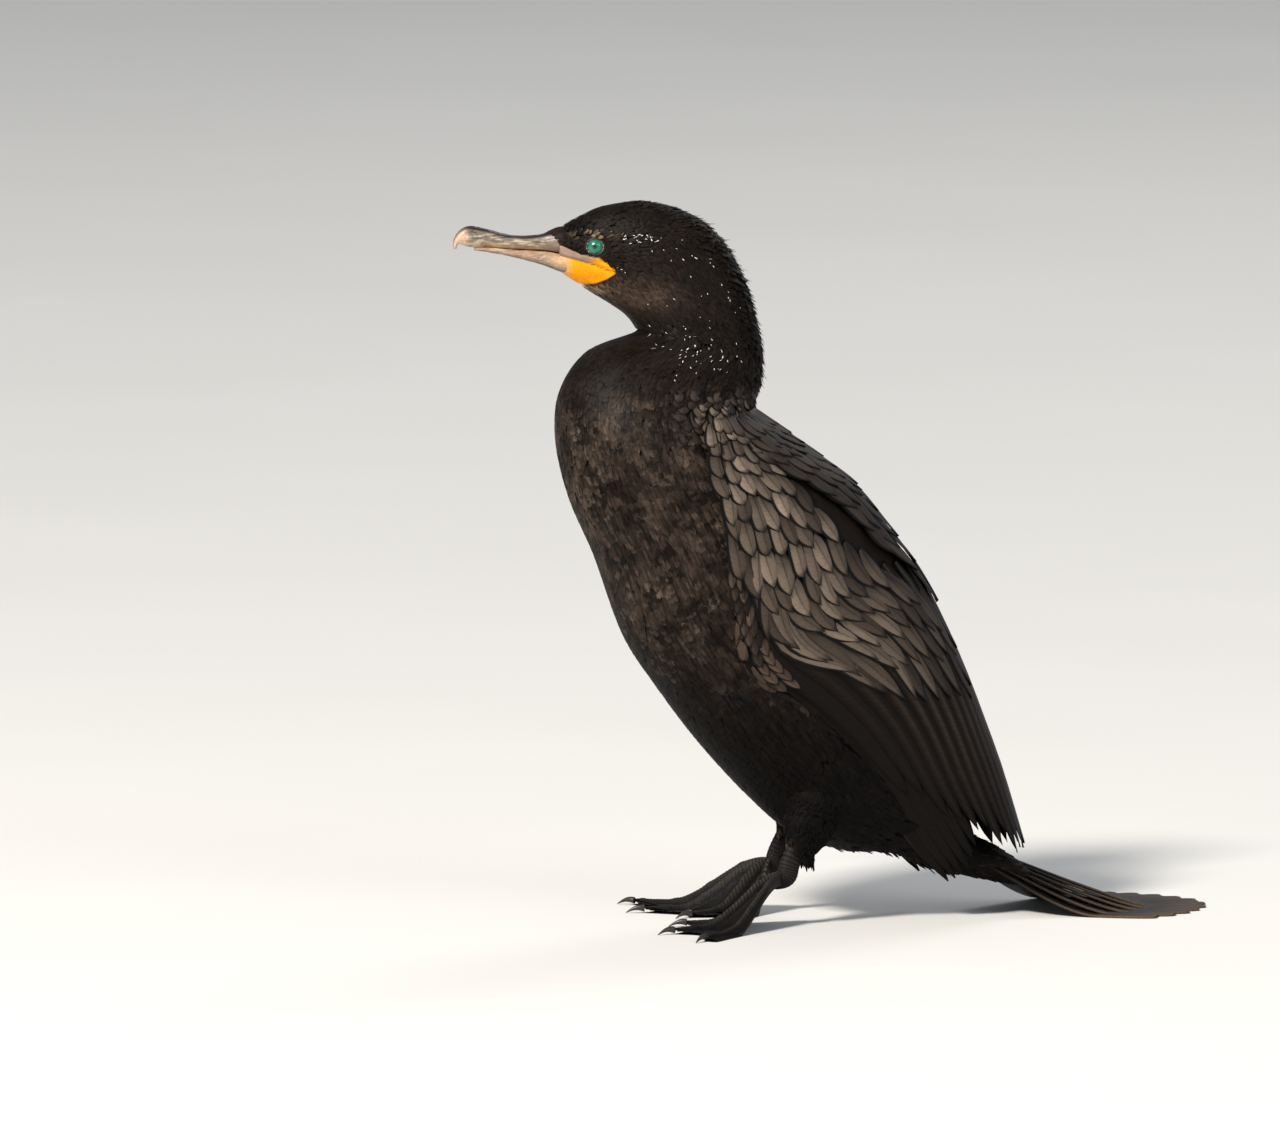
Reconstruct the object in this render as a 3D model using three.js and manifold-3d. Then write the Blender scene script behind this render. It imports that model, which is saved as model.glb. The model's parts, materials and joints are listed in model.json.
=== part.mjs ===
// A life-size standing cormorant, as a still model: a slim dark water bird with an S-curved neck, a hooked
// bill, folded wings, a fanned stiff tail laid on the ground behind it and two webbed feet.
// Millimetres. +Z is up, the bird faces -Y, +X is its left side. The origin is on the ground, at the middle
// of its box.
import * as THREE from "three";
import { mergeVertices } from "three/addons/utils/BufferGeometryUtils.js";
import Module from "manifold-3d";

const wasm = await Module();
wasm.setup();

// Driving dimensions
const gap = 0.3; // between neighbouring solids
const headTurn = 13; // degrees that the head looks to the bird's right
const headDip = 0.0233; // how far the head leans forward, as a slope
const headPivotY = -75; // the upright axis in the neck that the head turns about
const eyeRadius = 5.4;
const eye = { x: 11.6, y: -131, z: 368.6 };
const legX = 33; // each foot's distance from the middle plane
const footBase = { y: -36, z: 29 }; // where the toes spread from the shank
const rightFootBack = 15; // the right foot stands this much further back
const footTurn = 9; // degrees that each foot points outwards
const tail = {
  feathers: 12,
  length: 152,
  outerLength: 118,
  spread: 25, // degrees from the middle feather to the outermost
  width: 19,
  thickness: 1.3,
  flat: 34, // how much of each feather's end lies on the ground
  base: { y: 61, z: 37 },
};

// Sections of the body from the rump to the brow. Each has its front or lower point, its back or upper point,
// both in the middle plane as [y, z], and its half width.
const bodySections = [
  { front: [57, 25], back: [75, 47], half: 19 },
  { front: [36, 34], back: [66, 68], half: 31 },
  { front: [7, 37], back: [52, 99], half: 41 },
  { front: [-20, 46], back: [40, 126], half: 48 },
  { front: [-45, 67], back: [27, 156], half: 53 },
  { front: [-72, 96], back: [14, 184], half: 55 },
  { front: [-96, 127], back: [2, 206], half: 56 },
  { front: [-115, 156], back: [-9, 226], half: 56 },
  { front: [-131, 199], back: [-24, 246], half: 56 },
  { front: [-145, 230], back: [-36, 261], half: 54 },
  { front: [-153, 261], back: [-44, 274], half: 48 },
  { front: [-152, 288], back: [-44, 282], half: 39 },
  { front: [-137, 310], back: [-41, 290], half: 32 },
  { front: [-110, 320], back: [-40, 303], half: 28.5 },
  { front: [-109, 323], back: [-41, 315], half: 26.5 },
  { front: [-114, 330], back: [-45, 330], half: 24.5 },
  { front: [-121, 335.5], back: [-51, 349], half: 23 },
  { front: [-127, 339.5], back: [-62, 368], half: 22 },
  { front: [-131, 342], back: [-77, 382], half: 20.5 },
  { front: [-134, 344], back: [-100, 390.5], half: 18.5 },
  { front: [-137, 346], back: [-124, 389.5], half: 16 },
  { front: [-143, 349.8], back: [-139, 384], half: 12.5 },
  { front: [-150, 354.5], back: [-150, 378], half: 9.2 },
];

// Where the body is parted into nodes, as places in the list of sections
const cuts = { rump: 0, chest: 10.4, neckMiddle: 13.4, nape: 15.6, brow: 22 };

// Bill sections, in the same terms: front is the lower edge and back the upper one.
const upperBillSections = [
  { front: [-150.6, 364.8], back: [-150.6, 378.2], half: 8.4 },
  { front: [-160, 366.5], back: [-160, 375], half: 6.6 },
  { front: [-174, 367.4], back: [-174, 374.8], half: 5.2 },
  { front: [-187, 368.8], back: [-188, 378.6], half: 4.5 },
  { front: [-194, 369], back: [-196, 380.6], half: 4.3 },
  { front: [-198.5, 369.4], back: [-201, 380], half: 3.9 },
  { front: [-201.5, 370.4], back: [-204.8, 377], half: 3 },
  { front: [-204, 371], back: [-206.8, 372.6], half: 1.9 },
  { front: [-205.2, 368.4], back: [-206.6, 368.4], half: 0.6 },
];
const lowerBillSections = [
  { front: [-150.6, 355], back: [-150.6, 364.3], half: 8.6 },
  { front: [-160, 358.8], back: [-160, 366], half: 6.6 },
  { front: [-174, 363], back: [-174, 366.9], half: 4.8 },
  { front: [-187, 366], back: [-187, 368.3], half: 3.6 },
  { front: [-195.5, 367.4], back: [-195.5, 368.5], half: 2.2 },
];

// The folded wing's outer face, from the shoulder to the tip. It covers the section from one angle to the
// other, in degrees from the middle of the back, and is as thick as thick.
const wingSections = [
  { front: [-150, 268], back: [-45, 280], half: 57, from: 22, to: 70, thick: 4 },
  { front: [-147, 240], back: [-31, 269], half: 63, from: 13, to: 84, thick: 9 },
  { front: [-138, 200], back: [-9, 253], half: 66, from: 8, to: 92, thick: 10 },
  { front: [-115, 156], back: [11, 237], half: 66, from: 5, to: 108, thick: 9.5 },
  { front: [-93, 120], back: [29, 215], half: 64, from: 4, to: 121, thick: 9 },
  { front: [-65, 88], back: [47, 191], half: 60, from: 3, to: 114, thick: 8 },
  { front: [-35, 62], back: [62, 164], half: 54, from: 3, to: 111, thick: 7 },
  { front: [-10, 44], back: [76, 134], half: 47, from: 3, to: 113, thick: 5.5 },
  { front: [12, 33], back: [88, 104], half: 40, from: 3.5, to: 119, thick: 4.5 },
  { front: [31, 22], back: [98, 77], half: 35, from: 4, to: 125, thick: 3.2 },
  { front: [44, 11], back: [112, 32], half: 30, from: 5, to: 122, thick: 2.2 },
];

const radians = THREE.MathUtils.degToRad;
const mix = THREE.MathUtils.lerp;
const smooth = THREE.MathUtils.smoothstep;

// One value of a list of sections at a place between them, on a smooth curve through them all.
function along(list, place, read) {
  const i = Math.min(Math.floor(place), list.length - 2);
  const t = place - i;
  const at = (k) => read(list[Math.max(0, Math.min(list.length - 1, k))]);
  const [a, b, c, d] = [at(i - 1), at(i), at(i + 1), at(i + 2)];
  const bend = (3 * (b - c) + d - a) * t ** 3 + (2 * a - 5 * b + 4 * c - d) * t ** 2 + (c - a) * t;
  return b + bend / 2;
}

// A point on a section: angle 0 is the middle of the back, 180 the front, and 90 the left side.
function onSection(list, place, angle, grow = 0) {
  const frontY = along(list, place, (s) => s.front[0]);
  const frontZ = along(list, place, (s) => s.front[1]);
  const backY = along(list, place, (s) => s.back[0]);
  const backZ = along(list, place, (s) => s.back[1]);
  const half = along(list, place, (s) => s.half) + grow;
  const deep = Math.hypot(backY - frontY, backZ - frontZ) / 2;
  const reach = ((deep + grow) / deep) * Math.cos(radians(angle));
  return new THREE.Vector3(
    half * Math.sin(radians(angle)),
    (frontY + backY) / 2 + ((backY - frontY) / 2) * reach,
    (frontZ + backZ) / 2 + ((backZ - frontZ) / 2) * reach,
  );
}

// Turns a point of the neck or head about the neck's upright axis by a share of the head's turn.
function turned(point, share = 1) {
  const pivot = new THREE.Vector3(0, headPivotY, 0);
  const angle = radians(-headTurn * share);
  const moved = point.clone().sub(pivot);
  moved.z += headDip * share * moved.y;
  return moved.applyAxisAngle(new THREE.Vector3(0, 0, 1), angle).add(pivot);
}

const turnStarts = 11;
const turnEnds = 17;
const bodyPoint = (place, angle, grow) =>
  turned(onSection(bodySections, place, angle, grow), smooth(place, turnStarts, turnEnds));

// A closed mesh from rings of points, the same number in each, with a flat fan over each end.
function skinned(rings) {
  const count = rings[0].length;
  const points = rings.flat();
  const faces = [];
  for (let r = 0; r + 1 < rings.length; r++) {
    for (let i = 0; i < count; i++) {
      const [a, b] = [r * count + i, r * count + ((i + 1) % count)];
      faces.push(a, b, b + count, a, b + count, a + count);
    }
  }
  for (const [start, flip] of [[0, true], [(rings.length - 1) * count, false]]) {
    const middle = new THREE.Vector3();
    for (let i = 0; i < count; i++) middle.addScaledVector(points[start + i], 1 / count);
    const centre = points.push(middle) - 1;
    for (let i = 0; i < count; i++) {
      const [a, b] = [start + i, start + ((i + 1) % count)];
      faces.push(centre, flip ? b : a, flip ? a : b);
    }
  }
  return solidOf(points, faces);
}

// A manifold-3d solid from points and triangles, turned right side out.
function solidOf(points, faces) {
  const geometry = new THREE.BufferGeometry();
  const numbers = points.flatMap((p) => [p.x, p.y, p.z]);
  geometry.setAttribute("position", new THREE.Float32BufferAttribute(numbers, 3));
  geometry.setIndex(faces);
  const merged = mergeVertices(geometry, 1e-4);
  const build = (triVerts) =>
    new wasm.Manifold(
      new wasm.Mesh({ numProp: 3, vertProperties: merged.attributes.position.array, triVerts }),
    );
  const solid = build(new Uint32Array(merged.index.array));
  return solid.volume() > 0 ? solid : build(new Uint32Array(merged.index.array).reverse());
}

const steps = (from, to, count) => Array.from({ length: count + 1 }, (_, i) => mix(from, to, i / count));

// A length of the body between two places.
function bodyLength(from, to, count, sides = 22, grow = 0) {
  const angles = steps(0, 360, sides).slice(0, sides);
  return skinned(steps(from, to, count).map((place) => angles.map((angle) => bodyPoint(place, angle, grow))));
}

const lengthPart = gap / 24; // the gap between two lengths, as a share of one section's spacing

// The bill's two halves
function billHalf(sections, count) {
  const angles = steps(0, 360, 12).slice(0, 12);
  const ring = (place) => angles.map((angle) => turned(onSection(sections, place, angle)));
  return skinned(steps(0, sections.length - 1, count).map(ring));
}

// An eyeball, and the socket cut for it
function ball(side, radius) {
  const shape = new THREE.IcosahedronGeometry(radius, 2);
  shape.deleteAttribute("normal");
  shape.deleteAttribute("uv");
  const merged = mergeVertices(shape);
  const points = [];
  for (let i = 0; i < merged.attributes.position.count; i++) {
    const p = new THREE.Vector3().fromBufferAttribute(merged.attributes.position, i);
    points.push(turned(p.add(new THREE.Vector3(side * eye.x, eye.y, eye.z))));
  }
  return solidOf(points, [...merged.index.array]);
}

// How far down the wing the feathers reach at an angle: long inner feathers, shorter secondaries, long
// primaries, with a notch between each pair of tips.
function wingEnd(share) {
  const short = 0.55 * smooth(share, 0.15, 0.5) * (1 - smooth(share, 0.62, 0.92));
  const corner = 0.45 * smooth(share, 0.95, 1) + 0.5 * (1 - smooth(share, 0, 0.1));
  const notch = 0.14 * Math.abs(Math.sin(share * Math.PI * 9));
  return wingSections.length - 1 - short - corner - notch;
}

function wing(side, grow = 0) {
  const across = 17;
  const down = 12;
  const face = (deep) =>
    steps(0, 1, down).map((t) =>
      steps(0, 1, across).map((share) => {
        const whole = mix(wingSections.length - 1, wingEnd(share), smooth(t, 0.6, 1));
        const place = mix(grow ? 0 : 0.02, whole, t);
        const spare = THREE.MathUtils.radToDeg(grow / along(wingSections, place, (s) => s.half));
        const angle = mix(
          along(wingSections, place, (s) => s.from) - spare,
          along(wingSections, place, (s) => s.to) + spare,
          share,
        );
        const full = along(wingSections, place, (s) => s.thick);
        const plump = 0.35 + 0.65 * Math.sqrt(Math.max(0, Math.sin(Math.PI * share)));
        const thin = Math.max(1.1, full * plump * (1 - 0.7 * smooth(t, 0.8, 1)));
        const point = onSection(wingSections, place, angle, deep ? -thin - grow : grow);
        return new THREE.Vector3(side * point.x, point.y, point.z);
      }),
    );
  const [outer, inner] = [face(false), face(true)];
  const rings = outer.map((row, i) => [...row, ...inner[i].slice().reverse()]);
  return skinned(rings);
}

// The tail fan. Each feather leaves the rump, comes down in a long curve and ends flat on the ground.
function tailFeather(index) {
  const middle = (tail.feathers - 1) / 2;
  const off = (index - middle) / middle; // -1 at the right edge, 1 at the left
  const angle = radians(tail.spread * off);
  const length = mix(tail.length, tail.outerLength, Math.abs(off) ** 1.6);
  const lift = 2.4 * (1 - Math.abs(off)); // middle feathers lie on the others
  const rings = steps(0, 1, 6).map((t) => {
    const reach = t * length;
    const fall = smooth(reach, 0, length - tail.flat);
    const drop = mix(tail.base.z, 0, 0.55 * fall + 0.45 * Math.min(1, reach / (length - tail.flat)));
    const low = drop + lift * (1 - smooth(t, 0.55, 0.8));
    const rounded = Math.sqrt(Math.max(0.02, 1 - ((t - 0.55) / 0.46) ** 6 * 0.97));
    const half = (tail.width / 2) * mix(0.3, 1, smooth(t, 0, 0.6)) * rounded;
    const thick = tail.thickness * mix(2.2, 1, smooth(t, 0, 0.4));
    const aside = Math.sin(angle) * length * t ** 1.5 + off * 8;
    const centre = new THREE.Vector3(aside, tail.base.y + Math.cos(angle) * reach, low);
    const acrossX = Math.cos(angle) * half;
    const acrossY = -Math.sin(angle) * half;
    const corner = (s, up) =>
      new THREE.Vector3(centre.x + s * acrossX, centre.y + s * acrossY, centre.z + up);
    const shoulder = thick * 0.8;
    return [corner(-1, 0), corner(1, 0), corner(0.94, shoulder), corner(0, thick), corner(-0.94, shoulder)];
  });
  return skinned(rings);
}

// A leg: the feathered thigh, the bare shank and the webbed foot with its toes
const footY = (side) => footBase.y + (side < 0 ? rightFootBack : 0);
const toes = [
  { angle: -56, length: 36 },
  { angle: -24, length: 54 },
  { angle: 4, length: 71 },
  { angle: 31, length: 82 },
];
const foot = { web: 1.6, toeHalf: 3.1, toeHigh: 5.6, heel: 9 };

// How far the web's edge is from the toes' root at an angle: a hollow curve from one toe's end to the next.
function webReach(angle) {
  const last = toes.length - 1;
  if (angle <= toes[0].angle) return toes[0].length;
  if (angle >= toes[last].angle) return toes[last].length;
  const i = toes.findIndex((toe, k) => k < last && angle < toes[k + 1].angle);
  const share = (angle - toes[i].angle) / (toes[i + 1].angle - toes[i].angle);
  return mix(toes[i].length, toes[i + 1].length, share) * (1 - 0.17 * Math.sin(Math.PI * share));
}

function footShape(side) {
  const angles = [];
  toes.forEach((toe, i) => {
    for (const off of [-5, -2.6, 0, 2.6, 5]) angles.push(toe.angle + off * (i === 0 ? 1.4 : 1));
    if (i < toes.length - 1) {
      const next = toes[i + 1].angle;
      angles.push(mix(toe.angle, next, 0.36), mix(toe.angle, next, 0.64));
    }
  });
  angles.sort((a, b) => a - b);
  const rows = 6;
  const place = (angle, share, top) => {
    const reach = mix(2.5, webReach(angle), share);
    const toe = toes.reduce((a, b) => (Math.abs(b.angle - angle) < Math.abs(a.angle - angle) ? b : a));
    const aside = Math.abs(reach * Math.sin(radians(angle - toe.angle)));
    const ridge = foot.toeHigh * mix(1, 0.6, share) * Math.max(0, 1 - (aside / foot.toeHalf) ** 2);
    const tent = (footBase.z - 5) * (1 - smooth(share, 0.04, 0.74));
    const high = tent + Math.max(foot.web, ridge);
    const turn = radians(angle + footTurn);
    return new THREE.Vector3(
      side * (legX + Math.sin(turn) * reach),
      footY(side) - Math.cos(turn) * reach,
      top ? high : Math.max(0, tent - foot.web),
    );
  };
  const rings = steps(0, 1, rows).map((share) => [
    ...angles.map((angle) => place(angle, share, true)),
    ...angles.slice().reverse().map((angle) => place(angle, share, false)),
  ]);
  return skinned(rings);
}

// A tapering round limb through a few named points
function limb(side, points) {
  const curve = new THREE.CatmullRomCurve3(points.map((p) => new THREE.Vector3(side * p.x, p.y, p.z)));
  const rings = steps(0, 1, 8).map((t) => {
    const centre = curve.getPoint(t);
    const ahead = curve.getTangent(t);
    const acrossway = new THREE.Vector3(1, 0, 0).cross(ahead).normalize();
    const sideways = ahead.clone().cross(acrossway).normalize();
    const k = t * (points.length - 1);
    const wide = along(points, k, (p) => p.wide);
    const deep = along(points, k, (p) => p.deep);
    return steps(0, 360, 12).slice(0, 12).map((a) =>
      centre
        .clone()
        .addScaledVector(sideways, wide * Math.cos(radians(a)))
        .addScaledVector(acrossway, deep * Math.sin(radians(a))),
    );
  });
  return skinned(rings);
}

const shank = (side) =>
  limb(side, [
    { x: legX, y: footY(side) + 1, z: footBase.z - 4, wide: 4.4, deep: 6.8 },
    { x: legX - 0.5, y: footY(side) + 3, z: footBase.z + 5, wide: 3.6, deep: 5.4 },
    { x: legX - 2, y: footY(side) + 9, z: footBase.z + 17, wide: 3.8, deep: 5.6 },
    { x: legX - 4, y: footY(side) + 15, z: footBase.z + 28, wide: 4.4, deep: 6.2 },
  ]);

const thigh = (side, grow = 0) =>
  limb(side, [
    { x: legX - 2, y: footY(side) + 9, z: footBase.z + 12 - grow, wide: 6.5 + grow, deep: 8.5 + grow },
    { x: legX - 4, y: footY(side) + 13, z: footBase.z + 21, wide: 11 + grow, deep: 15 + grow },
    { x: legX - 7, y: footY(side) + 18, z: footBase.z + 34, wide: 16 + grow, deep: 22 + grow },
    { x: legX - 9, y: footY(side) + 22, z: footBase.z + 50 + grow, wide: 17 + grow, deep: 24 + grow },
  ]);

// A claw at a toe's end, curved down to the ground
function claw(side, toe) {
  const turn = radians(toe.angle + footTurn);
  const rings = steps(0, 1, 5).map((t) => {
    const reach = toe.length + gap + t * 9;
    const wide = mix(1.7, 0.25, t ** 1.3);
    const middle = mix(2.2, 0.3, t ** 1.6);
    const centre = new THREE.Vector3(
      side * (legX + Math.sin(turn) * reach),
      footY(side) - Math.cos(turn) * reach,
      middle,
    );
    return steps(0, 360, 8).slice(0, 8).map((a) =>
      centre.clone().add(
        new THREE.Vector3(
          side * Math.cos(turn) * wide * Math.cos(radians(a)),
          Math.sin(turn) * wide * Math.cos(radians(a)),
          Math.min(wide, middle) * Math.sin(radians(a)),
        ),
      ),
    );
  });
  return skinned(rings);
}

const colours = {
  plumage: { color: 0x1c1713, roughness: 0.75 },
  wing: { color: 0x4a4038, roughness: 0.55 },
  tail: { color: 0x17130f, roughness: 0.6 },
  horn: { color: 0xa89a84, roughness: 0.5 },
  gape: { color: 0xd8a15a, roughness: 0.5 },
  eye: { color: 0x0b7d63, roughness: 0.1 },
  leg: { color: 0x1e1c1b, roughness: 0.6 },
  claw: { color: 0x121110, roughness: 0.4 },
};

const cormorant = new THREE.Group();

// Adds a solid to the model as a named mesh.
function show(name, solid, finish) {
  const made = solid.getMesh();
  const geometry = new THREE.BufferGeometry();
  geometry.setAttribute("position", new THREE.BufferAttribute(new Float32Array(made.vertProperties), 3));
  geometry.setIndex(new THREE.BufferAttribute(new Uint32Array(made.triVerts), 1));
  geometry.computeVertexNormals();
  const mesh = new THREE.Mesh(geometry, new THREE.MeshStandardMaterial(colours[finish]));
  mesh.name = name;
  cormorant.add(mesh);
}

const sides = [["left", 1], ["right", -1]];
const largest = (solid) => solid.decompose().reduce((a, b) => (a.volume() > b.volume() ? a : b));

let trunk = bodyLength(cuts.rump, cuts.chest - lengthPart, 17);
let lowerNeck = bodyLength(cuts.chest, cuts.neckMiddle - lengthPart, 6);
const upperNeck = bodyLength(cuts.neckMiddle, cuts.nape - lengthPart, 5);
let head = bodyLength(cuts.nape, cuts.brow, 11);

const tailFan = Array.from({ length: tail.feathers }, (_, i) => tailFeather(i)).reduce((a, b) => a.add(b));
const trunkInTail = bodyLength(cuts.rump, 3, 6, 22, gap);
show("tail", largest(tailFan.subtract(trunkInTail)), "tail");

for (const [name, side] of sides) {
  const shell = wing(side);
  const room = wing(side, gap);
  trunk = trunk.subtract(room);
  lowerNeck = lowerNeck.subtract(room);
  show("wing_" + name, largest(shell.subtract(tailFan)), "wing");

  const hip = thigh(side);
  trunk = trunk.subtract(thigh(side, gap));
  show("thigh_" + name, largest(hip.subtract(room)), "plumage");

  const bone = shank(side);
  const webbed = footShape(side);
  const thighRoom = thigh(side, gap);
  show("shank_" + name, largest(bone.subtract(thighRoom)), "leg");
  show("foot_" + name, largest(webbed.subtract(bone)), "leg");
  toes.forEach((toe, i) => show("claw_" + name + "_" + (i + 1), claw(side, toe), "claw"));

  show("eye_" + name, ball(side, eyeRadius), "eye");
  head = head.subtract(ball(side, eyeRadius + gap));
}

show("trunk", largest(trunk), "plumage");
show("lower_neck", largest(lowerNeck), "plumage");
show("upper_neck", upperNeck, "plumage");
show("head", largest(head), "plumage");
show("upper_bill", billHalf(upperBillSections, 12), "horn");
show("lower_bill", billHalf(lowerBillSections, 6), "gape");

// The origin goes under the middle of the whole bird.
const box = new THREE.Box3().setFromObject(cormorant);
cormorant.position.y = -(box.min.y + box.max.y) / 2;

export default cormorant;
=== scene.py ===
import json
import math

import bpy
import numpy as np
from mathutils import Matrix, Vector
from mathutils.bvhtree import BVHTree
from mathutils.noise import fractal

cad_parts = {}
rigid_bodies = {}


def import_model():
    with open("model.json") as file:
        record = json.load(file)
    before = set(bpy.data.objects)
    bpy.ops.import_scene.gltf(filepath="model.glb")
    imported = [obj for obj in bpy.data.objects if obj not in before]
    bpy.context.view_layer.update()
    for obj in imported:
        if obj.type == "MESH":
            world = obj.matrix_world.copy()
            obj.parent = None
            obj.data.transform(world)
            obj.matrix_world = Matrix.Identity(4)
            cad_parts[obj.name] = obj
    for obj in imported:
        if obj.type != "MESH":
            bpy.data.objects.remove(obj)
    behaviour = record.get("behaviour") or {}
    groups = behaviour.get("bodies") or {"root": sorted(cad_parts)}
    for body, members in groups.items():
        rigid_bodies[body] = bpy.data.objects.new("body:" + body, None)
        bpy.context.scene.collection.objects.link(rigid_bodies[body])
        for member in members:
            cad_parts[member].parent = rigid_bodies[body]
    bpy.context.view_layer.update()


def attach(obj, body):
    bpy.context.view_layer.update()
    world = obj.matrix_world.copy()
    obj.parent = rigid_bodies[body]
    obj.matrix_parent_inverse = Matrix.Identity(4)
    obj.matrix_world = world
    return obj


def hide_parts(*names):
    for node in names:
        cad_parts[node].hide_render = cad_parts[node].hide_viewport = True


bpy.ops.object.select_all(action="SELECT")
bpy.ops.object.delete()  # the start-up cube, lamp and camera
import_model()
print("frame loaded")

random = np.random.default_rng(11)
millimetre = 0.001
originShift = -4.433  # the CAD puts its origin under the middle of the bird's box


def linear(hexColour):
    parts = [int(hexColour[i:i + 2], 16) / 255 for i in (1, 3, 5)]
    return np.array([p / 12.92 if p <= 0.04045 else ((p + 0.055) / 1.055) ** 2.4 for p in parts])


def palette(**names):
    return {name: linear(hexColour) for name, hexColour in names.items()}


def smooth(value, low, high):
    t = np.clip((np.asarray(value, float) - low) / (high - low), 0, 1)
    return t * t * (3 - 2 * t)


def between(value, low, full, fade, high):
    # rises from 0 to 1 between low and full, and falls again between fade and high
    return smooth(value, low, full) * (1 - smooth(value, fade, high))


def hump(value, middle, width):
    return np.exp(-((value - middle) / width) ** 2)


def mix(a, b, share):
    return a + (b - a) * share


def tint(a, b, share):
    return a + (b - a) * np.asarray(share, float)[..., None]


def layered(colour, *layers):
    # each layer's colour goes over the last by its share
    for over, share in layers:
        colour = tint(colour, over, share)
    return colour


def unit(vectors):
    return vectors / np.linalg.norm(vectors, axis=-1, keepdims=True)


def varied(mean, spread, count):
    return mean * random.normal(1, spread, count)


def ringGrid(places, sides, whole=360):
    # the places down a tube and the angles round it
    return np.meshgrid(places, np.linspace(0, whole, sides, endpoint=False), indexing="ij")


def patches(points, size, seed=0.0, octaves=2):
    # soft random patches about size millimetres across, from 0 to 1
    scaled = np.asarray(points) / (size * millimetre) + seed
    return np.clip(np.array([fractal(Vector(p), 1.0, 2.0, octaves) for p in scaled]) * 0.6 + 0.5, 0, 1)


# millimetres in the CAD's own frame, from the tail's root to the brow: front y, z, back y, z and half width
bodySections = np.array([
    [104, 14, 110, 25, 20], [82, 19, 93, 36, 19.5],
    [57, 25, 75, 47, 19], [36, 34, 66, 68, 31], [7, 37, 52, 99, 41], [-20, 46, 40, 126, 48],
    [-45, 67, 27, 156, 53], [-72, 96, 14, 184, 55], [-96, 127, 2, 206, 56], [-115, 156, -9, 226, 56],
    [-131, 199, -24, 246, 56], [-145, 230, -36, 261, 54], [-153, 261, -44, 274, 48],
    [-152, 288, -44, 282, 39], [-137, 310, -41, 290, 32], [-110, 320, -40, 303, 28.5],
    [-109, 323, -41, 315, 26.5], [-114, 330, -45, 330, 24.5], [-121, 335.5, -51, 349, 23],
    [-127, 339.5, -62, 368, 22], [-131, 342, -77, 382, 20.5], [-134, 344, -100, 390.5, 18.5],
    [-137, 346, -124, 389.5, 16], [-143, 349.8, -139, 384, 12.5], [-150, 354.5, -150, 378, 9.2],
])
# from the shoulder to the wing's tip: the same, then the angles of the wing's two edges and its thickness
wingSections = np.array([
    [-150, 268, -45, 280, 57, 22, 70, 4], [-147, 240, -31, 269, 63, 13, 84, 9],
    [-138, 200, -9, 253, 66, 8, 92, 10], [-115, 156, 11, 237, 66, 5, 108, 9.5],
    [-93, 120, 29, 215, 64, 4, 121, 9], [-65, 88, 47, 191, 60, 3, 114, 8],
    [-35, 62, 62, 164, 54, 3, 111, 7], [-10, 44, 76, 134, 47, 3, 113, 5.5],
    [12, 33, 88, 104, 40, 3.5, 119, 4.5], [31, 22, 98, 77, 35, 4, 125, 3.2],
    [44, 11, 112, 32, 30, 5, 122, 2.2],
])
upperBillSections = np.array([
    [-146, 363.6, -146, 378.4, 8.2],
    [-150.6, 364.8, -150.6, 378.2, 8.4], [-160, 366.5, -160, 375, 6.6], [-174, 367.4, -174, 374.8, 5.2],
    [-187, 368.8, -188, 378.6, 4.5], [-194, 369, -196, 380.6, 4.3], [-198.5, 369.4, -201, 380, 3.9],
    [-201.5, 370.4, -204.8, 377, 3.0], [-204, 371, -206.8, 372.6, 1.9], [-205.2, 368.4, -206.6, 368.4, 0.6],
])
lowerBillSections = np.array([
    [-146, 353.4, -146, 364, 8.4],
    [-150.6, 355, -150.6, 364.3, 8.6], [-160, 358.8, -160, 366, 6.6], [-174, 363, -174, 366.9, 4.8],
    [-187, 366, -187, 368.3, 3.6], [-195.5, 367.4, -195.5, 368.5, 2.2],
])
eyeCentre = np.array([11.6, -131, 368.6])
# the share of the turn grows along the neck from place start to place end
headTurn = {"degrees": 13, "dip": 0.0233, "pivotY": -75, "start": 13, "end": 19}


def along(sections, place):
    place = np.asarray(place, float)
    last = len(sections) - 1
    i = np.clip(np.floor(place).astype(int), 0, last - 1)
    t = (place - i)[..., None]
    a, b, c, d = (sections[np.clip(i + k, 0, last)] for k in (-1, 0, 1, 2))
    return b + ((3 * (b - c) + d - a) * t ** 3 + (2 * a - 5 * b + 4 * c - d) * t ** 2 + (c - a) * t) / 2


def onSection(sections, place, angle, grow=0.0):
    # a point on the section's ellipse, angle 0 at its back and 90 on the left
    s = along(sections, place)
    radians = np.radians(angle)
    dy, dz = (s[..., 2] - s[..., 0]) / 2, (s[..., 3] - s[..., 1]) / 2
    deep = np.hypot(dy, dz)
    reach = (deep + grow) / deep * np.cos(radians)
    x = (s[..., 4] + grow) * np.sin(radians)
    return np.stack([x, (s[..., 0] + s[..., 2]) / 2 + dy * reach, (s[..., 1] + s[..., 3]) / 2 + dz * reach], -1)


def spun(points, share):
    angle = np.radians(-headTurn["degrees"]) * share
    x, y = points[..., 0], points[..., 1] - headTurn["pivotY"]
    across = x * np.cos(angle) - y * np.sin(angle)
    return np.stack([across, x * np.sin(angle) + y * np.cos(angle) + headTurn["pivotY"], points[..., 2]], -1)


def turned(points, share):
    # the head leans forward a little, then turns about the neck's upright axis
    dip = headTurn["dip"] * share * (points[..., 1] - headTurn["pivotY"])
    return spun(points + np.stack([0 * dip, 0 * dip, dip], -1), share)


def placed(points):
    return (points + np.array([0, originShift, 0])) * millimetre


def onHead(points):
    return placed(turned(points, 1.0))


def bodySurface(place, angle, grow=0.0):
    share = smooth(place, headTurn["start"], headTurn["end"])
    return placed(turned(onSection(bodySections, place, angle, grow), share))


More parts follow.
